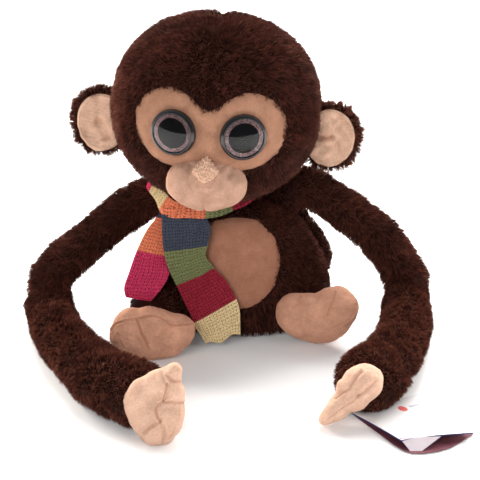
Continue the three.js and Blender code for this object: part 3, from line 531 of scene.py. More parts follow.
def swell(parts, cap=1.5, inset=0.7, voxel=0.004):
    """Stuffed fabric: each skin is blown up by Blender's cloth with pressure, on a voxel copy, and takes up how that copy moved."""
    parts = [(V - normals(V, F) * inset, F) for V, F in parts]
    n = 0; VV, FF_ = [], []
    for V, F in parts:
        VV.append(V); FF_.append(F + n); n += len(V)
    src = mesh("swell_source", np.vstack(VV), np.vstack(FF_), [])
    rm = src.modifiers.new("remesh", "REMESH"); rm.mode = "VOXEL"; rm.voxel_size = voxel
    dg = bpy.context.evaluated_depsgraph_get()
    me = bpy.data.meshes.new_from_object(src.evaluated_get(dg))
    ob = bpy.data.objects.new("swell_cloth", me); bpy.context.scene.collection.objects.link(ob)
    bpy.data.objects.remove(src)
    cm = ob.modifiers.new("cloth", "CLOTH"); cs = cm.settings
    cs.quality = 6; cs.mass = 0.2; cs.tension_stiffness = 12; cs.compression_stiffness = 12; cs.shear_stiffness = 4; cs.bending_stiffness = 0.4
    cs.use_pressure = True; cs.uniform_pressure_force = 4.0; cs.effector_weights.gravity = 0
    cm.collision_settings.use_collision = False
    rest = np.empty(len(me.vertices) * 3, np.float32); me.vertices.foreach_get("co", rest); rest = rest.reshape(-1, 3).astype(float)
    scn = bpy.context.scene
    for f in range(1, 21):
        scn.frame_set(f)
    ev = ob.evaluated_get(bpy.context.evaluated_depsgraph_get())
    out = np.empty(len(rest) * 3, np.float32); ev.data.vertices.foreach_get("co", out)
    d = (out.reshape(-1, 3).astype(float) - rest) * 1000
    d[~np.isfinite(d).all(1)] = 0
    ln = np.linalg.norm(d, axis=1, keepdims=True)
    d = d * (cap * np.tanh(ln / cap) / np.maximum(ln, 1e-9))
    print("swell moved", float(ln.mean()), float(ln.max()))
    scn.frame_set(1)
    bpy.data.objects.remove(ob); bpy.data.meshes.remove(me)
    tree = kdtree.KDTree(len(rest))
    for i, p in enumerate(rest):
        tree.insert(p, i)
    tree.balance()
    made = []
    for V, F in parts:
        W = (V - O) * 0.001
        mv = np.zeros_like(V)
        for i, p in enumerate(W):
            near_ = tree.find_n(p, 5)
            ws = [1 / (x[2] + 8e-4) for x in near_]
            mv[i] = sum(d[x[1]] * y for x, y in zip(near_, ws)) / sum(ws)
        made.append((V + mv, F))
    return made


RH = [(124, 401), (129, 385), (145, 375), (162, 367), (171, 362.5), (181, 367), (182, 378), (181, 384), (184, 393), (184, 405), (183, 422), (176, 437.5), (165, 447), (150, 442), (138, 433), (129, 418)]
LH = [(367, 362.5), (350, 367), (341, 378), (335, 393), (326, 405), (317, 418), (318, 425), (323, 427), (332, 424), (350, 413), (370, 402), (381, 391.5), (385, 378), (381, 369)]
RF = [(109, 337), (112, 324), (117, 314), (123, 309), (131, 307.5), (138, 309), (144.6, 307), (153, 307.5), (161, 309), (174, 314), (189, 316.5), (197, 327), (194, 338), (182, 351), (161, 358), (138, 358.6), (119, 351)]
LFo = [(290.6, 293), (278, 301), (274, 312), (278, 325), (287, 333.5), (306, 340), (321, 343), (336.5, 340), (352, 325), (360, 310.5), (358, 301), (350, 291), (340, 285), (332, 287), (327, 287), (320, 291), (314, 294), (298, 294)]
lh_n = unit(EYE - np.array([72.5, -163.5, 21.8]))
PILLOWS = swell([
    pillow(RH, (-51.5, -185, 26.5), (-0.354, -0.946, 0.113), 10.5, back=9.0),
    pillow(LH, (72.5, -163.5, 21.8), lh_n, 12.5, back=11),
    pillow(RF, (-62.2, -67.7, 18.6), (0.05, -1, 0.05), 12.5, back=11.5, sharp=2.2),
    pillow(LFo, (57.5, -45.5, 21.9), (-0.07, -1, 0.05), 11.5, back=10, sharp=2.4)])
V_, F_ = PILLOWS[0]
V_ = carve(V_, F_, [([(167.5, 384), (166.8, 391), (164.8, 398), (162.5, 402), (158, 405.5), (155.5, 410), (157, 415), (160.5, 420.5)], 1.5, 1.3), ([(160.5, 421), (155, 424), (149, 428.5), (144.5, 432.5)], 1.6, 1.2),
                   ([(163.8, 402), (171, 401), (177, 402.5), (184, 402.8)], 1.3, 1.1), ([(161, 421.5), (164, 428), (164.5, 436), (163, 442)], 1.0, 1.3), ([(178.5, 404), (177.5, 416), (174, 428), (170, 438)], 0.7, 0.8),
                   ([(168, 376), (171, 380), (178, 382), (184, 382.5)], 1.4, 1.3), ([(162, 373), (164, 379), (167, 385)], 0.8, 1.7)],
           [((174.5, 369.5), 3.0, 6), ((175.5, 392), 3.2, 7.5), ((169, 411), 3.8, 8), ((174, 424), 2.2, 8), ((153, 437), 4.0, 8.5), ((151, 399), -3.2, 12), ((133, 402), 1.2, 9), ((140, 420), 0.8, 8)], seed=401, rough=0.16)
put("right_hand_nap", V_, F_, M["hand"], "hand_right", ["right_hand_cover", "right_hand_stuffing"])
V_, F_ = PILLOWS[1]
V_ = carve(V_, F_, [([(361, 373), (356, 378), (352.5, 384), (350, 389), (343, 392.5), (335.6, 398)], 1.6, 1.6), ([(375, 381), (369, 386), (364, 391), (358, 395)], 1.3, 1.8), ([(358, 395), (351, 402), (344, 406), (337, 411), (328, 418)], 0.9, 1.0)],
           [((367, 379), 2.8, 9), ((352, 396), 1.8, 8), ((342, 384), 2.0, 6.5), ((333, 409), 1.2, 8), ((376, 389), 1.2, 6)], seed=411, rough=0.16)
put("left_hand_nap", V_, F_, M["hand"], "hand_left", ["left_hand_cover", "left_hand_stuffing"])

SEAM_R = [(112, 331), (117, 324), (127, 320.5), (137, 319), (146, 317), (154, 316.5), (160, 317.5), (164, 319.5), (170, 325), (176, 325.5), (182, 324.5), (192, 323)]
V_, F_ = PILLOWS[2]
V_ = carve(V_, F_, [(SEAM_R, 1.3, 0.8), ([(136, 320.5), (138.5, 327), (141, 334), (145, 341), (147, 347)], 1.5, 1.3), ([(147, 344), (154, 342), (161, 336), (167, 329), (170, 325.5)], 0.7, 1.6), ([(117, 336), (121, 340), (124, 346)], 0.8, 0.9), ([(114, 343), (120, 340), (127, 338)], 0.7, 0.9), ([(119, 333), (121, 340), (120, 348)], 0.5, 0.9)],
           [((124, 336), 2.8, 12), ((153, 329), 2.6, 9.5), ((177, 339), 1.2, 12), ((151, 311), 1.4, 8), ((124, 315), 1.0, 8), ((181, 319), 0.8, 7)], seed=421, rough=0.16)
u_, v_ = project(V_[F_].mean(1)); sn = np.interp(u_, [p_[0] for p_ in SEAM_R], [p_[1] for p_ in SEAM_R])
put("right_foot_nap", V_, F_, M["foot"], "foot_right", ["right_foot_sole", "right_foot_upper", "right_foot_stuffing"])
V_, F_ = PILLOWS[3]
V_ = carve(V_, F_, [([(335, 292), (333, 300), (330, 308), (328, 315)], 1.2, 0.8), ([(356.5, 303), (355, 311), (350, 319), (343, 324), (335, 327)], 0.9, 0.8), ([(299, 297), (297, 303), (292, 308)], 0.8, 1.8)],
           [((344, 304), 2.0, 11), ((309, 317), 1.6, 14), ((289, 301), 1.8, 7)], seed=431, rough=0.16)
put("left_foot_nap", V_, F_, M["foot"], "foot_left", ["left_foot_sole", "left_foot_upper", "left_foot_stuffing"])


# ------------------------------------------------------------------ head
hp = lambda d: 2.13 + 0.07 * np.tanh(d[:, 2] * 66 / 9)
HV, HF = blob((0, 0, 0), tuple(a - 0.8 for a in HEAD_SEMI), 132, 96, hp)
FACE = [(0, 15.5), (6, 17.5), (11, 22), (17, 26), (24, 28.3), (32, 28.3), (39, 25.5), (46, 20), (51, 12), (53, 3), (52, -6), (48, -15), (41.5, -21.5), (33, -26), (25, -28), (18, -29.5), (12, -33), (0, -38)]
FACE = FACE + [(-x, z) for x, z in FACE[1:-1][::-1]]
fa = np.array(FACE, float) - (0, -8)
f_th = np.arctan2(fa[:, 1], fa[:, 0]); f_r = np.hypot(fa[:, 0], fa[:, 1])
order = np.argsort(f_th); f_th, f_r = f_th[order], f_r[order]


def face_r(th):
    th = (th + np.pi) % (2 * np.pi) - np.pi
    return np.interp(th, np.r_[f_th[-1] - 2 * np.pi, f_th, f_th[0] + 2 * np.pi], np.r_[f_r[-1], f_r, f_r[0]])


def head_y(x, z, off=0.0):
    a, b, c = (s + off for s in HEAD_SEMI)
    n = 2.13 + 0.07 * np.tanh(z / 9)
    return -b * np.maximum(1 - np.abs(x / a) ** n - np.abs(z / c) ** n, 0) ** (1 / n)


def face_ratio(P):
    x, z = P[:, 0], P[:, 2] + 8
    r = np.hypot(x, z) / face_r(np.arctan2(z, x))
    return np.where(P[:, 1] < -8, r, 9)


put("head_skin", head(HV), HF, M["skin_fur"], "head", ["head_cover"])

EYES = {}
for sg, nm in ((-1, "right"), (1, "left")):
    a, b, c = HEAD_SEMI
    x, z = sg * 23.3, -1.3
    y = -b * math.sqrt(1 - (x / a) ** 2 - (z / c) ** 2)
    EYES[nm] = (np.array([x, y, z]), unit([x / a ** 2, y / b ** 2, z / c ** 2]))

wr = sines(301, 14); wr2 = sines(302, 5.5)


def face_f(th, r):
    R = face_r(th) * 1.012
    x, z = r * R * np.cos(th), r * R * np.sin(th) - 8
    y = head_y(x, z)
    P = np.stack([x, y, z], -1)
    n = unit(P / (np.array(HEAD_SEMI) ** 2))
    h = 1.2 * (1 - r ** 6) - 1.2 * r ** 14
    for p, q in EYES.values():
        d = np.linalg.norm(P - p, axis=1)
        h -= 1.0 * np.exp(-((d - 15.5) / 3.2) ** 2)
        ang = np.arctan2(P[:, 2] - p[2], P[:, 0] - p[0])
        h += 0.22 * np.sin(ang * 13 + 1) * np.exp(-((d - 18) / 2.2) ** 2)
    h += 0.16 * wr(P) + 0.10 * wr2(P) * np.clip(r * 2 - 1, 0, 1)
    return P + n * h[:, None]


FV, FF = disc(face_f, 180, 60)
put("face_panel_nap", head(FV), face_out(FV, FF, (0, -1, 0)), M["face"], "head", ["face_panel"])

# head pile
fr_ = face_ratio(HV)
side = np.sign(HV[:, 0] + 1e-6)
top = np.clip(HV[:, 2] / 60, -1, 1)
comb = np.stack([side * (0.25 + 0.4 * np.clip(top, 0, 1)) * np.clip(np.abs(HV[:, 0]) / 12, 0, 1), 0.25 + 0.5 * (HV[:, 1] > -20), -0.65 + 0 * top], -1)
near = np.exp(-((fr_ - 1) / 0.10) ** 2)
inward = np.stack([-HV[:, 0], 0 * HV[:, 0], -(HV[:, 2] + 8)], -1)
comb = comb * (1 - 0.9 * near[:, None]) + unit(inward) * (1.0 * near)[:, None]
seam = np.exp(-(HV[:, 0] / 1.9) ** 2) * (HV[:, 1] < 25) * (HV[:, 2] > 16)
notch = np.exp(-(HV[:, 0] / 3.2) ** 2) * (HV[:, 2] > 52)
keep = (fr_ > 0.985) * (1 - 0.35 * seam)
under = np.clip((-HV[:, 2] - 30) / 25, 0, 1)
length = 5.7 * (1 - 0.35 * seam - 0.35 * notch) * (1 - 0.10 * near) * (1 - 0.2 * under)
muz = ((HV[:, 0] / 25) ** 2 + ((HV[:, 2] + 37.5) / 16) ** 2 < 1) & (HV[:, 1] < 0)
keep = keep * ~muz
# Head tone: lighter on the toy's right side (x below -42) as painted rim light, and darker below z = -15 as painted
# shade.
fur("head_pile", head(HV), HF, (comb) @ HM.T, per_cm2=190, length=length, keep=keep, body="head", seed=21, lean=0.42, tone=-0.1 + 1.3 * np.clip((-HV[:, 0] - 42) / 26, 0, 1) - 0.5 * (HV[:, 2] < -15))

# muzzle, nose
MC, MS = np.array([0, -57.0, -37.5]), (27.3, 21.0, 17.8)
MV, MF = blob(MC, (28.2, 21.0, 18.4), 170, 120, 2.05)
MN = normals(MV, MF)
q = MV - MC
h = np.zeros(len(MV))
front = q[:, 1] < -2
h -= front * 0.9 * np.exp(-(q[:, 0] / 1.1) ** 2) * (q[:, 2] < 5) * np.clip(1.4 - np.abs(q[:, 2] + 6) / 16, 0, 1)
h += front * 0.35 * np.exp(-((np.abs(q[:, 0]) - 4) / 3.5) ** 2) * (q[:, 2] < 4)
h += 0.16 * sines(311, 13)(MV) + 0.07 * sines(312, 4)(MV)
for px, pz, s_ in ((16.5, 12.0, 2.4), (-15.0, 14.5, 0.5)):
    d = np.hypot(q[:, 0] - px, q[:, 2] - pz)
    h -= front * s_ * np.exp(-(d / 2.4) ** 2)
d = np.hypot(q[:, 0], q[:, 2] - 11)
h -= front * 1.1 * np.exp(-((d - 11) / 2.2) ** 2) * (q[:, 2] < 16)
MV = MV + MN * h[:, None]
put("muzzle_nap", head(MV), MF, M["muzzle"], "head", ["muzzle_cover"])

nc = np.array([0, -72.0, -23.8]); na = [np.array([1.0, 0, 0]), unit([0, 0.80, 0.60]), unit([0, -0.60, 0.80])]


def nose_f(u, v):
    th, ph = 2 * np.pi * u, np.pi * v
    c_, s_ = np.cos(th), np.sin(th)
    R = 8.9 / (np.abs(c_) ** 1.25 + np.abs(s_) ** 1.25) ** (1 / 1.25) * (1 + 0.16 * np.where(s_ > 0, s_ * 1.0, -0.25 * s_)) * (1 - 0.10 * np.abs(c_) * (s_ > 0))
    rr = np.sin(ph) ** 0.9
    P = nc + (c_ * R * rr)[:, None] * na[0] + (s_ * R * 1.02 * rr)[:, None] * na[1]
    ridge = 1 + 0.5 * np.exp(-(c_ * rr * 2.2) ** 2) * (s_ * rr > -0.4)
    return P + (np.cos(ph) * 4.3 * ridge)[:, None] * na[2]


NV, NF = closed(nose_f, 110, 80)
NN = normals(NV, NF)
cr_ = sines(321, 3.2)(NV); cr2 = sines(322, 1.9)(NV)
NV = NV + NN * (0.55 * np.abs(cr_) + 0.22 * cr2 - 0.5)[:, None]
put("nose_stitched", head(NV), NF, M["nose"], "head", ["nose"])


# eyes
def lathe(profile, p, n, seg=72, smooth=True):
    pr = np.array(profile, float)
    a = unit(np.cross(n, [0, 0, 1.0])); b_ = np.cross(a, n)
    th = np.arange(seg) / seg * 2 * np.pi
    ring = np.cos(th)[:, None] * a + np.sin(th)[:, None] * b_
    V, rowsi = [], []
    for r, z in pr:
        if r < 1e-6:
            rowsi.append(np.full(seg, len(V))); V.append(p + n * z)
        else:
            rowsi.append(len(V) + np.arange(seg)); V.extend(p + ring * r + n * z)
    V = np.array(V)
    F = []
    for A, B in zip(rowsi[:-1], rowsi[1:]):
        A2, B2 = np.roll(A, -1), np.roll(B, -1)
        for tri in (np.stack([A, A2, B], 1), np.stack([A2, B2, B], 1)):
            F.append(tri[(tri[:, 0] != tri[:, 1]) & (tri[:, 1] != tri[:, 2]) & (tri[:, 0] != tri[:, 2])])
    F = np.vstack(F)
    return V, orient(V - V.mean(0), F)


def arc(r0, z0, r1, z1, n_, bulge):
    t_ = np.linspace(0, 1, n_)
    return [(r0 + (r1 - r0) * x + bulge * math.sin(math.pi * x) * 0.7, z0 + (z1 - z0) * x + bulge * math.sin(math.pi * x)) for x in t_]


for nm, (p, n) in EYES.items():
    prof = [(0, -3), (14.6, -3), (15.6, -1.0)] + [(16.1 - 0.25 * x * x, 0.3 + 2.6 * x) for x in np.linspace(0, 1, 6)] + [(15.5, 3.5), (15.1, 4.0), (14.6, 4.35), (14.1, 4.5), (13.75, 4.4), (13.5, 4.1), (13.4, 3.6), (13.4, 2.6), (0, 2.4)]
    V_, F_ = lathe(prof, p, n)
    put(f"{nm}_eye_rim_ring", head(V_), F_, M["rim"], "head", [f"{nm}_eye_rim"])
    V_, F_ = lathe([(0, 2.5), (13.2, 2.5), (13.35, 3.3), (13.2, 3.6), (10.75, 3.6), (10.5, 3.55), (0, 3.55)], p, n)
    rad_ = np.linalg.norm(np.cross(V_[F_].mean(1) - p, n), axis=1)
    put(f"{nm}_eye_iris_disc", head(V_), F_, [M["glitter"], M["pupil"]], "head", [f"{nm}_eye_iris"], index=(rad_ < 10.6).astype(int), smooth=False)
    a_ = np.linspace(0, math.pi / 2, 18)
    prof = [(r_, 4.25 + math.sqrt(33.0 ** 2 - r_ ** 2) - math.sqrt(33.0 ** 2 - 13.3 ** 2)) for r_ in np.linspace(13.35, 0, 24)]
    V_, F_ = lathe(prof, p, n, 96)
    put(f"{nm}_eye_dome", head(V_), F_, M["dome"], "head", [f"{nm}_eye_lens"])

# ears
for sg, nm in ((-1, "right"), (1, "left")):
    body = f"ear_{nm}"
    c = np.array([sg * 83.5, 4.0, -16.0])
    EV, EF = blob(c, (20.0, 5.2, 23.4), 84, 60, 2.2)
    er = np.hypot((EV[:, 0] - c[0]) / 19.0, (EV[:, 2] - c[2]) / 22.4)
    EV[:, 1] = np.where(EV[:, 1] < c[1], np.maximum(EV[:, 1], c[1] + 3.6 - 7.6 * np.clip(er, 0, 1) ** 5), EV[:, 1])
    put(f"{nm}_ear_skin", head(EV), EF, M["skin_fur"], body, [f"{nm}_ear_back"])
    rel = EV - c
    rr = np.hypot(rel[:, 0] / 17.2, rel[:, 2] / 20.5)
    front = rel[:, 1] < -0.5
    outc = unit(np.stack([rel[:, 0], 0.12 * np.where(front, -1, 1) + 0 * rel[:, 0], rel[:, 2]], -1))
    keep = np.where(front, rr > 0.93, 1.0)
    keep = keep * (sg * EV[:, 0] > 70.0)
    # The ear fringe takes a lighter tone (tone=1.0) as painted rim light. It stands for the backlit glow through the
    # fringe.
    fur(f"{nm}_ear_pile", head(EV), EF, outc @ HM.T, per_cm2=300, length=6.2, keep=keep, body=body, seed=41 + sg, lean=0.38, clump=0.15, stray=0.14, tone=1.0)
    wv = sines(331 + sg, 9)

    def lin_f(th, r):
        x, z = 17.9 * np.cos(th) * r, 21.2 * np.sin(th) * r
        dish = 4.6 * (1 - r ** 2.4)
        y = -6.2 + dish + 0.25 * wv(np.stack([x, 0 * x, z], -1))
        inn = sg * x
        y = y + 1.5 * np.exp(-((inn + 12) / 5.0) ** 2 - ((z - 1) / 7.0) ** 2)
        y = y - 1.0 * np.exp(-((inn + 4) / 3.0) ** 2 - ((z + 3) / 13.0) ** 2)
        y = y + np.where(r > 0.93, (r - 0.93) * 22, 0)
        return np.stack([x, y, z], -1) + (c[0] - sg * 1.0, c[1], c[2])

    LV, LF = disc(lin_f, 180, 70)
    LF = face_out(LV, LF, (0, -1, 0))
    LV = (carve(head(LV), LF, [([(100, 121), (104, 127), (108, 136)], 2.2, 3.4), ([(92, 145), (100, 139), (108, 137)], 0.7, 1.6)], [((90, 108), 1.4, 11), ((96, 146), 1.6, 8)], seed=441, rough=0.15) if sg < 0
          else carve(head(LV), LF, [([(316, 137), (324, 137.5), (331, 137)], 2.6, 2.3), ([(331, 137), (336, 141), (338, 148)], 0.6, 1.6)], [((333, 120), 1.6, 12), ((328, 151), 1.5, 9)], seed=442, rough=0.15))
    put(f"{nm}_ear_lining_nap", LV, LF, M["ear"], body, [f"{nm}_ear_lining"])

# ------------------------------------------------------------------ torso and belly
TV, TF = rows(TORSO, 140, 100, -0.6)
put("torso_skin", TV, TF, M["skin_fur"], "torso", ["torso_cover"])
TN = normals(TV, TF)
rel = (TV - (0, 8, 0))
down = np.zeros_like(TV); down[:, 2] = -1
outw = np.stack([rel[:, 0], rel[:, 1], 0 * rel[:, 0]], -1)
comb = down * 0.8 + unit(outw) * 0.25
bx, bz = -3.0, 59.0
br = np.hypot((TV[:, 0] - bx) / 31.5, (TV[:, 2] - bz) / 32.5)
br = np.where(TV[:, 1] < 0, br, 9)
keep = (br > 1.0).astype(float)
nk = np.hypot(TV[:, 0] + 12, TV[:, 1]) < 16
keep = keep * ~(nk & (TV[:, 2] > 85))
low = np.clip(1 - TV[:, 2] / 10, 0, 1)
fur("torso_pile", TV, TF, comb, per_cm2=165, length=5.6 * (1 - 0.15 * np.exp(-((br - 1) / 0.12) ** 2)) * (1 - 0.3 * low), keep=keep, body="torso", seed=61, lean=0.42, tone=-0.45)


def torso_front(x, z):
    """y of the torso's front at x, z."""
    T = np.array(TORSO, float)[1:]
    ax, ay, cx, cy = (np.interp(z, T[:, 0] + np.arange(len(T)) * 1e-6, T[:, i]) for i in (1, 2, 3, 4))
    k = np.clip(1 - np.abs((x - cx) / np.maximum(ax, 1e-6)) ** 2.15, 0, 1) ** (1 / 2.15)
    return cy - ay * k


bw = sines(341, 20)


def belly_f(th, r):
    x, z = bx + 32.4 * r * np.cos(th), bz + 33.4 * r * np.sin(th)
    y = torso_front(x, z) - (2.4 * (1 - r ** 6) - 0.6) - 0.25 * bw(np.stack([x, 0 * x, z], -1)) * (1 - r)
    return np.stack([x, y, z], -1)


BV, BF = disc(belly_f, 150, 60)
put("belly_patch_nap", BV, face_out(BV, BF, (0, -1, 0)), M["belly"], "torso", ["belly_patch"])

LV, LF, LD, LS = limb([[-12, 0, 92, 17], [-12, 0, 100, 16.5], [-13, 0, 108, 17]], 60, 40, 0, ends=(0.3, 0.3))
put("neck_skin", LV, LF, M["skin_fur"], "neck", ["neck_stuffing"])
fur("neck_pile", LV, LF, -LD, per_cm2=150, length=4.6, body="neck", seed=67, lean=0.4, tone=-0.4)

# ------------------------------------------------------------------ arms
ELBOW = {"right": ((-144, 2, 24), (-144, -34, 18)), "left": ((126.5, 10, 24), (126.5, -26, 18))}
row = lambda p: tuple((np.asarray(p, float) - O) * 0.001)
for nm in ("right", "left"):
    A = ARM[nm]
    path = A["upper"] + A["fore"][1:]
    AV, AF, AD, AS = limb(path, 44, 240, -0.6)
    AN = normals(AV, AF)
    AV = AV + AN * (0.5 * sines(351 + len(nm), 34)(AV) + 0.25 * sines(352, 15)(AV))[:, None]
    AV[:, 2] = np.maximum(AV[:, 2], 0.6)
    bend = (f"upper_arm_{nm}", f"forearm_{nm}", row(ELBOW[nm][0]), row(ELBOW[nm][1]))
    put(f"{nm}_arm_skin", AV, AF, M["skin_fur"], None, [f"{nm}_upper_arm_cover", f"{nm}_forearm_cover"], bend=bend)
    tl = np.where(AS > 0.97, 0.8, 1.0)
    # Arm tone rises from the shoulder to the hand: darker at the shoulder as painted shade, and lighter on the forearm
    # as painted light.
    fur(f"{nm}_arm_pile", AV, AF, AD, per_cm2=185, length=5.6 * tl, body=None, bend=bend, seed=71 + len(nm), lean=0.36, tone=-0.5 + 1.9 * np.clip(AS * 1.35, 0, 1) ** 1.2)

# ------------------------------------------------------------------ legs, tail
for nm in ("right", "left"):
    LV, LF, LD, LS = limb(LEG[nm], 56, 60, -0.6)
    put(f"{nm}_leg_skin", LV, LF, M["skin_fur"], f"leg_{nm}", [f"{nm}_leg_cover"])
    fur(f"{nm}_leg_pile", LV, LF, LD, per_cm2=165, length=5.2, keep=1.0 * (LS < 0.985), body=f"leg_{nm}", seed=81 + len(nm), lean=0.4, tone=-0.2)
LV, LF, LD, LS = limb(TAIL, 36, 110, -1.2)
put("tail_skin", LV, LF, M["skin_fur"], "tail", ["tail_cover", "tail_stuffing"])
fur("tail_pile", LV, LF, LD, per_cm2=190, length=4.4, body="tail", seed=91, lean=0.4, tone=1.0)


# ------------------------------------------------------------------ knitted scarf
def knit(name, rgb):
    out = []
    # Each yarn colour comes in four copies, picked by stitch height. The darker copies in the gaps and on the sides of
    # the stitches are painted shade, and the brightest copy on the crowns is a painted highlight.
    for k_, painted_light_step in ((0.34, "gap"), (0.64, "side"), (0.96, "crown"), (1.22, "painted_highlight")):
        c = scaled(lin(*rgb), k_)
        m, t, b = material(f"knit_{name}_{painted_light_step}", Base_Color=c, Roughness=0.9, Sheen_Weight=0.3 if painted_light_step != "gap" else 0.0, Sheen_Roughness=0.5, Sheen_Tint=scaled(c, 1.6), Specular_IOR_Level=0.15)
        out.append(m)
    return out


YARN = {"orange": (224, 128, 94), "blue": (66, 72, 86), "green": (118, 124, 84), "crimson": (146, 40, 56), "cream": (222, 198, 152), "pink": (198, 58, 96)}
KM, KI = [], {}
for k_, rgb in YARN.items():
    KI[k_] = len(KM); KM += knit(k_, rgb)


def stitch_height(a, b):
    """Stocking stitch: a across in stitches, b along in rows. Two slanting legs make each V. Height 0 to 1."""
    fa_, fb = a % 1.0, b
    x = np.abs(fa_ - 0.5)  # 0 at the centre of a V, 0.5 between wales
    slant = fb - x * 1.15
    row_ = slant % 1.0
    leg = np.clip(1 - ((x - 0.25) / 0.235) ** 2, 0, 1) ** 0.5
    yarn = np.clip(1 - ((row_ - 0.5) / 0.5) ** 2, 0, 1) ** 0.5
    da, db = (a + 0.5) % 1.0 - 0.5, (b + 0.08) % 1.0 - 0.5
    hole = np.exp(-(da / 0.19) ** 2 - (db / 0.21) ** 2)
    return np.clip(leg * (0.35 + 0.65 * yarn) - 0.9 * hole, 0, 1)


def knitted(name, left, right, stripes, w_mm, l_mm, body, replaces, thick=1.8, st=(2.6, 2.5), quad=0.34, marks=None, wave=None, bend=None):
    """A band between two edge lines (3-D, same count). stripes: [(share of length, colour)]. Relief on both faces, closed."""
    left, right = np.asarray(left, float), np.asarray(right, float)
    k_ = len(left)
    nl, nw = int(l_mm / quad), int(w_mm / quad)
    t_ = np.linspace(0, k_ - 1, nl + 1)
    Lc, Rc = catmull(left, t_), catmull(right, t_)
    mid = (Lc + Rc) / 2
    s = np.concatenate([[0], np.cumsum(np.linalg.norm(np.diff(mid, axis=0), axis=1))]); s = s / s[-1]
    w = np.linspace(0, 1, nw + 1)
    P = Lc[:, None] * (1 - w)[None, :, None] + Rc[:, None] * w[None, :, None]
    if wave is not None:
        P = wave(P, s[:, None], w[None, :])
    gu = np.gradient(P, axis=0); gw = np.gradient(P, axis=1)
    N = unit(np.cross(gu, gw))
    if (N.reshape(-1, 3) @ FWD).mean() > 0:
        N = -N
    a = np.broadcast_to(w[None, :] * (w_mm / st[0]), P.shape[:2])
    b = np.broadcast_to(s[:, None] * (l_mm / st[1]), P.shape[:2])
    jit = 0.10 * sines(501, 7)(P) 
    H = stitch_height(a + jit * 0.5, b + jit)
    edge = np.minimum(w, 1 - w)[None, :] * w_mm
    roll = np.sqrt(np.clip(1 - np.clip(1 - edge / thick, 0, 1) ** 2, 0, 1))
    enda = np.minimum(s, 1 - s)[:, None] * l_mm
    roll = roll * np.sqrt(np.clip(1 - np.clip(1 - enda / thick, 0, 1) ** 2, 0, 1))
    up_ = P + N * (thick * 0.5 * roll + (H - 0.5) * 0.95 * np.maximum(roll, 0.35))[..., None]
    dn_ = P - N * (thick * 0.5 * roll + (H - 0.5) * 0.5 * roll)[..., None]
    n1, n2 = P.shape[:2]
    idx = np.arange(n1 * n2).reshape(n1, n2)
    q4 = np.stack([idx[:-1, :-1], idx[:-1, 1:], idx[1:, 1:], idx[1:, :-1]], -1).reshape(-1, 4)
    V = np.vstack([up_.reshape(-1, 3), dn_.reshape(-1, 3)])
    off_ = n1 * n2
    rim = np.r_[idx[0, :-1], idx[:-1, -1], idx[-1, :0:-1], idx[:0:-1, 0]]
    rim2 = np.roll(rim, -1)
    side_ = np.stack([rim, rim2, rim2 + off_, rim + off_], 1)
    Q = np.vstack([q4, q4[:, ::-1] + off_, side_])
    edges_ = np.cumsum([f_ for f_, _ in stripes]); edges_ = edges_ / edges_[-1]
    if marks is not None:
        edges_ = np.interp(marks, t_, s)
    cols = [KI[c_] for _, c_ in stripes]
    sc = (s[:-1] + s[1:]) / 2
    rown = np.round(sc * l_mm / st[1]) * st[1] / l_mm
    band = np.array(cols)[np.minimum(np.searchsorted(edges_, np.clip(rown, 0, 0.9999)), len(cols) - 1)]
    band = np.broadcast_to(band[:, None], (n1 - 1, n2 - 1)).ravel()
    hc = (H[:-1, :-1] + H[1:, 1:] + H[:-1, 1:] + H[1:, :-1]).ravel() / 4
    # Painted shade and highlight: each face takes a darker yarn copy where the stitch is low and a lighter one where it
    # is high. The back face is capped at the crown copy.
    shade = np.digitize(hc + 0.05 * np.random.default_rng(5).normal(size=len(hc)), [0.20, 0.55, 0.86])
    mi = np.r_[band + shade, band + np.minimum(shade, 2), np.full(len(side_), 0)]
    mi[len(q4) * 2:] = np.full(len(side_), cols[-1] + 1)
    Qn = orient(V, np.stack([Q[:, 0], Q[:, 1], Q[:, 2]], 1))
    if not (Qn[0] == Q[0, :3]).all():
        Q = Q[:, ::-1].copy()
    V[:, 2] = np.maximum(V[:, 2], 0.3)
    ob = mesh(name, V, Q, KM, mi)
    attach(ob, body)
    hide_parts(*replaces)
    return ob


FT = np.array([[-41, -37.5, 101], [-40.5, -38, 88], [-39.5, -40, 77], [-33.5, -46, 56], [-26, -49, 44], [-19.4, -50.5, 33], [-14.6, -52.5, 17], [-11, -54.5, 5.5]], float)


def onto(u, v, table):
    """The point seen at u, v whose y is the table's at its height."""
    T_ = table[np.argsort(table[:, 2])]
    y = T_[:, 1].mean()
    for _ in range(12):
        r = ray(u, v)
        p = EYE + r * ((y - EYE[1]) / r[1])
        y = np.interp(p[2], T_[:, 2], T_[:, 1])
    return p


FL = [(161, 206), (161.5, 216), (162, 232), (163.5, 250), (167.5, 266), (175, 283), (183, 300), (190.5, 315), (196, 329), (206, 343.5)]
FR = [(205, 210), (207, 219), (210.5, 229), (208, 244), (205.5, 255), (213, 267), (225, 279), (232, 291), (239, 307), (240.5, 335)]
FLp = [onto(u, v, FT) for u, v in FL]; FRp = [onto(u, v, FT) for u, v in FR]


def front_wave(P, s, w):
    h = 0.9 * np.sin(w * math.pi * 7) * np.exp(-(s / 0.13) ** 2) * (w > 0.45)
    h = h + 1.9 * np.exp(-((s - 0.40 - 0.22 * (1 - w)) / 0.05) ** 2) * np.clip((w - 0.35) * 2, 0, 1)
    h = h - 1.4 * np.exp(-((s - 0.47 - 0.2 * (1 - w)) / 0.035) ** 2) * np.clip((w - 0.3) * 2, 0, 1)
    h = h + 0.7 * np.sin(s * 19 + w * 3) + 1.0 * np.sin(w * math.pi)
    Q_ = P.copy(); Q_[..., 1] -= h
    Q_[..., 2] += (1.6 * np.sin(w * 9.5 + 0.6) + 2.2 * (w - 0.5)) * np.clip((s - 0.86) / 0.14, 0, 1) ** 1.5
    return Q_


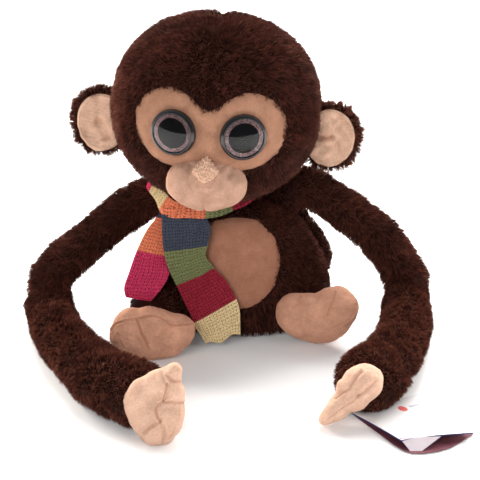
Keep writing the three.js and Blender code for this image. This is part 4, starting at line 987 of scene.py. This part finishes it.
knitted("scarf_front_knit", FLp, FRp, [(0.055, "orange"), (0.235, "blue"), (0.215, "green"), (0.265, "crimson"), (0.21, "cream")], 36, 116, "scarf_front", ["scarf_front_tail"], wave=front_wave)
BT = np.array([[-58, -30.5, 90], [-62, -33, 78], [-67.9, -37, 66], [-70, -47, 55], [-71.5, -54.5, 49]], float)
BL = [(161, 210), (155, 219), (147.5, 228.5), (140, 243), (135.7, 253), (129, 272), (124, 288), (125.5, 297)]
BR = [(172, 210), (172, 222), (172, 234), (170, 248), (168, 260), (169, 274), (161, 289), (151, 301)]
BLp = [onto(u, v, BT) for u, v in BL]; BRp = [onto(u, v, BT) for u, v in BR]
knitted("scarf_back_knit", BLp, BRp, [(0.10, "blue"), (0.39, "orange"), (0.51, "pink")], 27, 70, "scarf_back", ["scarf_back_tail"], wave=lambda P, s, w: P - np.array([0, 1.0, 0]) * (0.8 * np.sin(w * math.pi) + 0.5 * np.sin(s * 9))[..., None])

# neck loop: a band round the neck, wide and hanging out at the toy's right
def at_y(u, v, y):
    r = ray(u, v)
    return EYE + r * ((y - EYE[1]) / r[1])


low_edge = [(-12, 38, 95.5), (-34, 31, 96.5), (-50, 14, 101.5)]
top_edge = [(-12, 37, 103.5), (-33, 30, 104.5), (-49, 14, 108)]
low_px = [((147.5, 187.5), -8), ((156, 201), -21), ((161.5, 213.5), -34), ((172, 218), -41.5), ((188, 218), -44), ((203.5, 218.5), -44), ((219, 216.5), -42), ((235, 210), -37.5), ((250, 203), -30), ((259, 193), -20)]
top_px = [((152, 178), -5), ((163, 189), -18), ((171, 198), -28), ((178, 202), -35), ((190, 203), -39.5), ((203, 202), -41), ((218, 201), -39), ((232, 197), -35), ((245, 190), -27), ((252, 184), -16)]
low_edge += [tuple(at_y(u, v, y)) for (u, v), y in low_px]
top_edge += [tuple(at_y(u, v, y)) for (u, v), y in top_px]
low_edge += [(16, 4, 97), (10, 25, 95.8), (-6, 37.5, 95.5)]
top_edge += [(15, 4, 104.5), (9, 24, 103.6), (-6, 36.5, 103.5)]
knitted("scarf_loop_knit", top_edge, low_edge, [(1, "blue"), (1, "orange"), (1, "pink"), (1, "cream"), (1, "orange"), (1, "green"), (1, "crimson"), (1, "crimson"), (1, "blue")], 14, 190, "torso", ["scarf_neck_loop"],
        marks=[0.8, 2.0, 3.35, 4.75, 8.0, 10.0, 11.8, 13.6, 15.0])

# ------------------------------------------------------------------ tag
m, t, b = material("tag_white_card", Roughness=0.42, Coat_Weight=0.25, Coat_Roughness=0.2)
co = t.nodes.new("ShaderNodeTexCoord"); nz = t.nodes.new("ShaderNodeTexNoise"); nz.inputs["Scale"].default_value = 90
# The card's colour is a light grey below white. This is painted shade, so the card stands apart from the white floor.
# The noise adds a slight mottle.
rp = t.nodes.new("ShaderNodeValToRGB"); rp.color_ramp.elements[0].color = (0.74, 0.735, 0.75, 1); rp.color_ramp.elements[1].color = (0.80, 0.795, 0.81, 1)
t.links.new(co.outputs["Object"], nz.inputs["Vector"]); t.links.new(nz.outputs["Fac"], rp.inputs["Fac"]); t.links.new(rp.outputs["Color"], b.inputs["Base Color"])
M["card"] = m
M["flap"] = cloth("tag_shaded_card", (205, 196, 203), blotch=0.04, fine=0.02, bump=0.02, sheen=0.0, rough=0.45)
M["navy"] = cloth("tag_navy_print", (38, 42, 96), blotch=0.1, bump=0.02, sheen=0.0, rough=0.4)
M["maroon"] = cloth("tag_underside_print", (112, 66, 76), blotch=0.2, bump=0.02, sheen=0.0, rough=0.45)
M["mark_a"] = material("tag_mark_coral", Base_Color=lin(214, 96, 92), Roughness=0.4)[0]
M["mark_b"] = material("tag_mark_grey", Base_Color=lin(176, 178, 190), Roughness=0.4)[0]


def leaf(name, corners, thick, mats, nu=40, nv=40, zf=None):
    """A thin card over four corners, with its edge in its own colour."""
    c = [np.asarray(p, float) for p in corners]
    a, b = np.meshgrid(np.linspace(0, 1, nu + 1), np.linspace(0, 1, nv + 1))
    P = (c[0] * ((1 - a) * (1 - b))[..., None] + c[1] * (a * (1 - b))[..., None] + c[2] * (a * b)[..., None] + c[3] * ((1 - a) * b)[..., None])
    if zf is not None:
        P[..., 2] += zf(a, b)
    T_ = P.copy(); B_ = P.copy(); B_[..., 2] -= thick
    idx = np.arange((nu + 1) * (nv + 1)).reshape(nv + 1, nu + 1)
    q4 = np.stack([idx[:-1, :-1], idx[:-1, 1:], idx[1:, 1:], idx[1:, :-1]], -1).reshape(-1, 4)
    V = np.vstack([T_.reshape(-1, 3), B_.reshape(-1, 3)])
    off_ = idx.size
    rim = np.r_[idx[0, :-1], idx[:-1, -1], idx[-1, :0:-1], idx[:0:-1, 0]]
    rim2 = np.roll(rim, -1)
    Q = np.vstack([q4, q4[:, ::-1] + off_, np.stack([rim, rim2, rim2 + off_, rim + off_], 1)[:, ::-1]])
    mi = np.r_[np.zeros(len(q4)), np.full(len(q4), 2), np.full(len(rim), 1)].astype(int)
    n0 = np.cross(V[Q[0, 1]] - V[Q[0, 0]], V[Q[0, 2]] - V[Q[0, 0]])
    if n0[2] < 0:
        Q = Q[:, ::-1].copy()
    return V, Q, mi


zp = lambda u, v, z: on_plane(u, v, (0, 0, z), np.array([0, 0, 1.0]))
tl_, tr_, br_, bl_ = zp(352, 413, 1.6), zp(421, 393, 3.0), zp(473, 432.5, 5.6), zp(401, 440, 6.2)
V_, Q_, mi_ = leaf("tag", [bl_, br_, tr_, tl_], 1.0, None, zf=lambda a, b: 1.6 * np.sin(a * math.pi) * (1 - b) * 0.5 + 0.5 * np.sin(b * 3))
ob = mesh("tag_upper_leaf", V_, Q_, [M["card"], M["navy"], M["maroon"]], mi_, smooth=False)
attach(ob, "tag"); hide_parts("tag_card")
fb0, fb1, fb2, fb3 = zp(399.5, 437.6, 6.9), zp(441, 436.4, 6.9), zp(422, 451, 0.9), zp(410, 451, 0.9)
V_, Q_, mi_ = leaf("tagf", [fb3, fb2, fb1, fb0], 0.5, None, 16, 12)
ob = mesh("tag_fold", V_, Q_, [M["flap"], M["navy"], M["maroon"]], mi_, smooth=False)
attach(ob, "tag")
under = [(354, 415), (368, 425.5), (380, 434), (393, 444), (404, 450.5), (412, 453), (424, 453), (438, 451), (450, 447.5), (462, 441), (473.5, 433.5)]
back_ = [(382, 412), (390, 414), (398, 416), (406, 420), (412, 423), (418, 425), (424, 426), (432, 427), (440, 427), (450, 427), (460, 427)]
f0 = np.array([zp(u, v, 0.9) for u, v in under]); f1 = np.array([zp(u, v, 0.9) for u, v in back_])
kk = len(f0); V_ = np.vstack([f0, f1, f0 - (0, 0, 0.45), f1 - (0, 0, 0.45)])
i_ = np.arange(kk - 1)
Q_ = np.vstack([np.stack([i_, i_ + 1, kk + i_ + 1, kk + i_], 1), np.stack([3 * kk + i_, 3 * kk + i_ + 1, 2 * kk + i_ + 1, 2 * kk + i_], 1),
                np.stack([i_, 2 * kk + i_, 2 * kk + i_ + 1, i_ + 1], 1), np.stack([kk + i_ + 1, 3 * kk + i_ + 1, 3 * kk + i_, kk + i_], 1), [[0, kk, 3 * kk, 2 * kk], [kk - 1, 3 * kk - 1, 4 * kk - 1, 2 * kk - 1]]])
Q_[-1] = [kk - 1, 3 * kk - 1, 4 * kk - 1, 2 * kk - 1]
ob = mesh("tag_lower_leaf", V_, Q_, [M["maroon"], M["navy"], M["card"]], np.zeros(len(Q_), int), smooth=False)
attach(ob, "tag")


def tag_point(a, b):
    c = [bl_, br_, tr_, tl_]
    P = c[0] * (1 - a) * (1 - b) + c[1] * a * (1 - b) + c[2] * a * b + c[3] * (1 - a) * b
    return P + np.array([0, 0, 1.6 * math.sin(a * math.pi) * (1 - b) * 0.5 + 0.5 * math.sin(b * 3) + 0.08])


def mark(name, pts, mat, body="tag"):
    P = np.array([tag_point(a, b) for a, b in pts])
    c_ = P.mean(0)
    V = np.vstack([c_[None], P, c_[None] - (0, 0, 0.1), P - (0, 0, 0.1)])
    k_ = len(P)
    i = np.arange(k_); j = (i + 1) % k_
    F = np.vstack([np.stack([0 * i, 1 + i, 1 + j], 1), np.stack([0 * i + k_ + 1, k_ + 2 + j, k_ + 2 + i], 1), np.stack([1 + i, k_ + 2 + i, 1 + j], 1), np.stack([1 + j, k_ + 2 + i, k_ + 2 + j], 1)])
    ob = mesh(name, V, orient(V - c_, F), mat, smooth=False)
    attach(ob, body)


th_ = np.linspace(0, 2 * np.pi, 25)[:-1]
mark("tag_dot", [(0.56 + 0.05 * math.cos(x), 0.76 + 0.075 * math.sin(x)) for x in th_], M["mark_a"])
mark("tag_bar_1", [(0.66, 0.79), (0.84, 0.79), (0.84, 0.74), (0.66, 0.74)], M["mark_b"])
mark("tag_bar_2", [(0.30, 0.52), (0.82, 0.52), (0.82, 0.505), (0.30, 0.505)], M["mark_b"])
mark("tag_bar_3", [(0.30, 0.44), (0.74, 0.44), (0.74, 0.425), (0.30, 0.425)], M["mark_b"])
V_, F_, _, _ = limb([[94.5, -150.8, 1.6, 0.5], [95.4, -154.2, 6, 0.5], [96.6, -157.4, 12, 0.5], [96.4, -157.4, 17.5, 0.5]], 12, 40)
put("tag_thread", V_, F_, M["dark_thread"], "hand_left", ["tag_fastener"])

# ------------------------------------------------------------------ hidden pieces keep their CAD shapes, with real materials
hidden = {"stuffing": M["stuffing"], "pouch": M["pouch"], "washer": M["washer"]}
for sp_ in frame["record"]["subparts"]:
    mt = hidden.get(sp_["material_slot"])
    if mt:
        o_ = frame["nodes"][sp_["node"]]
        o_.data.materials.clear(); o_.data.materials.append(mt)

# ------------------------------------------------------------------ stage, light, camera
fm = bpy.data.materials.new("stage_paper"); fm.use_nodes = True
fb_ = fm.node_tree.nodes["Principled BSDF"]
fb_.inputs["Base Color"].default_value = (0.86, 0.86, 0.87, 1); fb_.inputs["Roughness"].default_value = 0.9; fb_.inputs["Specular IOR Level"].default_value = 0.1
fb_.inputs["Emission Color"].default_value = (1, 1, 1, 1); fb_.inputs["Emission Strength"].default_value = 0.06
S = 12.0
floor = mesh("stage_floor", [(-S, -0.74, -0.0003), (S, -0.74, -0.0003), (S, S, -0.0003), (-S, S, -0.0003)], [[0, 1, 2, 3]], fm, mm=False)

sc = bpy.context.scene
w = bpy.data.worlds.new("studio"); sc.world = w; w.use_nodes = True
wt = w.node_tree; bg = wt.nodes["Background"]
tc = wt.nodes.new("ShaderNodeTexCoord"); sx = wt.nodes.new("ShaderNodeSeparateXYZ")
wt.links.new(tc.outputs["Generated"], sx.inputs["Vector"])
mr = wt.nodes.new("ShaderNodeMapRange"); mr.inputs["From Min"].default_value = -0.55; mr.inputs["From Max"].default_value = 0.75; mr.inputs["To Min"].default_value = 0.05; mr.inputs["To Max"].default_value = 1.0
wt.links.new(sx.outputs["Y"], mr.inputs["Value"])
lp = wt.nodes.new("ShaderNodeLightPath")
mx = wt.nodes.new("ShaderNodeMix"); mx.data_type = "FLOAT"
wt.links.new(lp.outputs["Is Camera Ray"], mx.inputs[0]); wt.links.new(mr.outputs["Result"], mx.inputs[2]); mx.inputs[3].default_value = 1.0
wt.links.new(mx.outputs[0], bg.inputs["Strength"]); bg.inputs["Color"].default_value = (1, 1, 1, 1)


def area(name, at, aim, size, power, color=(1, 1, 1)):
    ld = bpy.data.lights.new(name, "AREA"); ld.shape = "DISK"; ld.size = size; ld.energy = power; ld.color = color
    ob = bpy.data.objects.new(name, ld); sc.collection.objects.link(ob)
    ob.location = at
    ob.rotation_mode = "QUATERNION"
    ob.rotation_quaternion = (Vector(aim) - Vector(at)).to_track_quat("-Z", "Y")
    ob.visible_glossy = False
    return ob


sun = bpy.data.lights.new("sky_sun", "SUN"); sun.energy = 3.45; sun.angle = math.radians(55); sun.color = (1, 0.985, 0.97)
so = bpy.data.objects.new("sky_sun", sun); sc.collection.objects.link(so)
so.rotation_mode = "QUATERNION"; so.rotation_quaternion = Vector((-0.08, -0.75, -1.0)).to_track_quat("-Z", "Y"); so.visible_glossy = False
area("rim_back", (0.15, 1.1, 0.95), (0, 0, 0.12), 0.9, 34, (1, 0.96, 0.91))
area("rim_left", (-1.0, 0.75, 0.45), (0, 0, 0.13), 0.5, 25, (1, 0.92, 0.83))
area("rim_right", (1.0, 0.8, 0.45), (0, 0, 0.1), 0.5, 16, (1, 0.93, 0.85))
area("fill_front", (-0.55, -1.5, 0.95), (0, 0, 0.12), 1.0, 17, (1, 0.985, 0.97))
area("fill_right", (1.3, -0.9, 0.7), (0, 0, 0.1), 0.8, 8, (1, 0.98, 0.97))

cam = bpy.data.cameras.new("camera"); cam.lens = 100; cam.sensor_width = 36; cam.clip_end = 50
cobj = bpy.data.objects.new("camera", cam); sc.collection.objects.link(cobj)
cobj.location = Vector((EYE - O) * 0.001)
cobj.rotation_mode = "QUATERNION"; cobj.rotation_quaternion = Vector(FWD).to_track_quat("-Z", "Y")
sc.camera = cobj
sc.view_settings.view_transform = "Standard"
sc.view_settings.look = "None"

print("strands", fur_count)
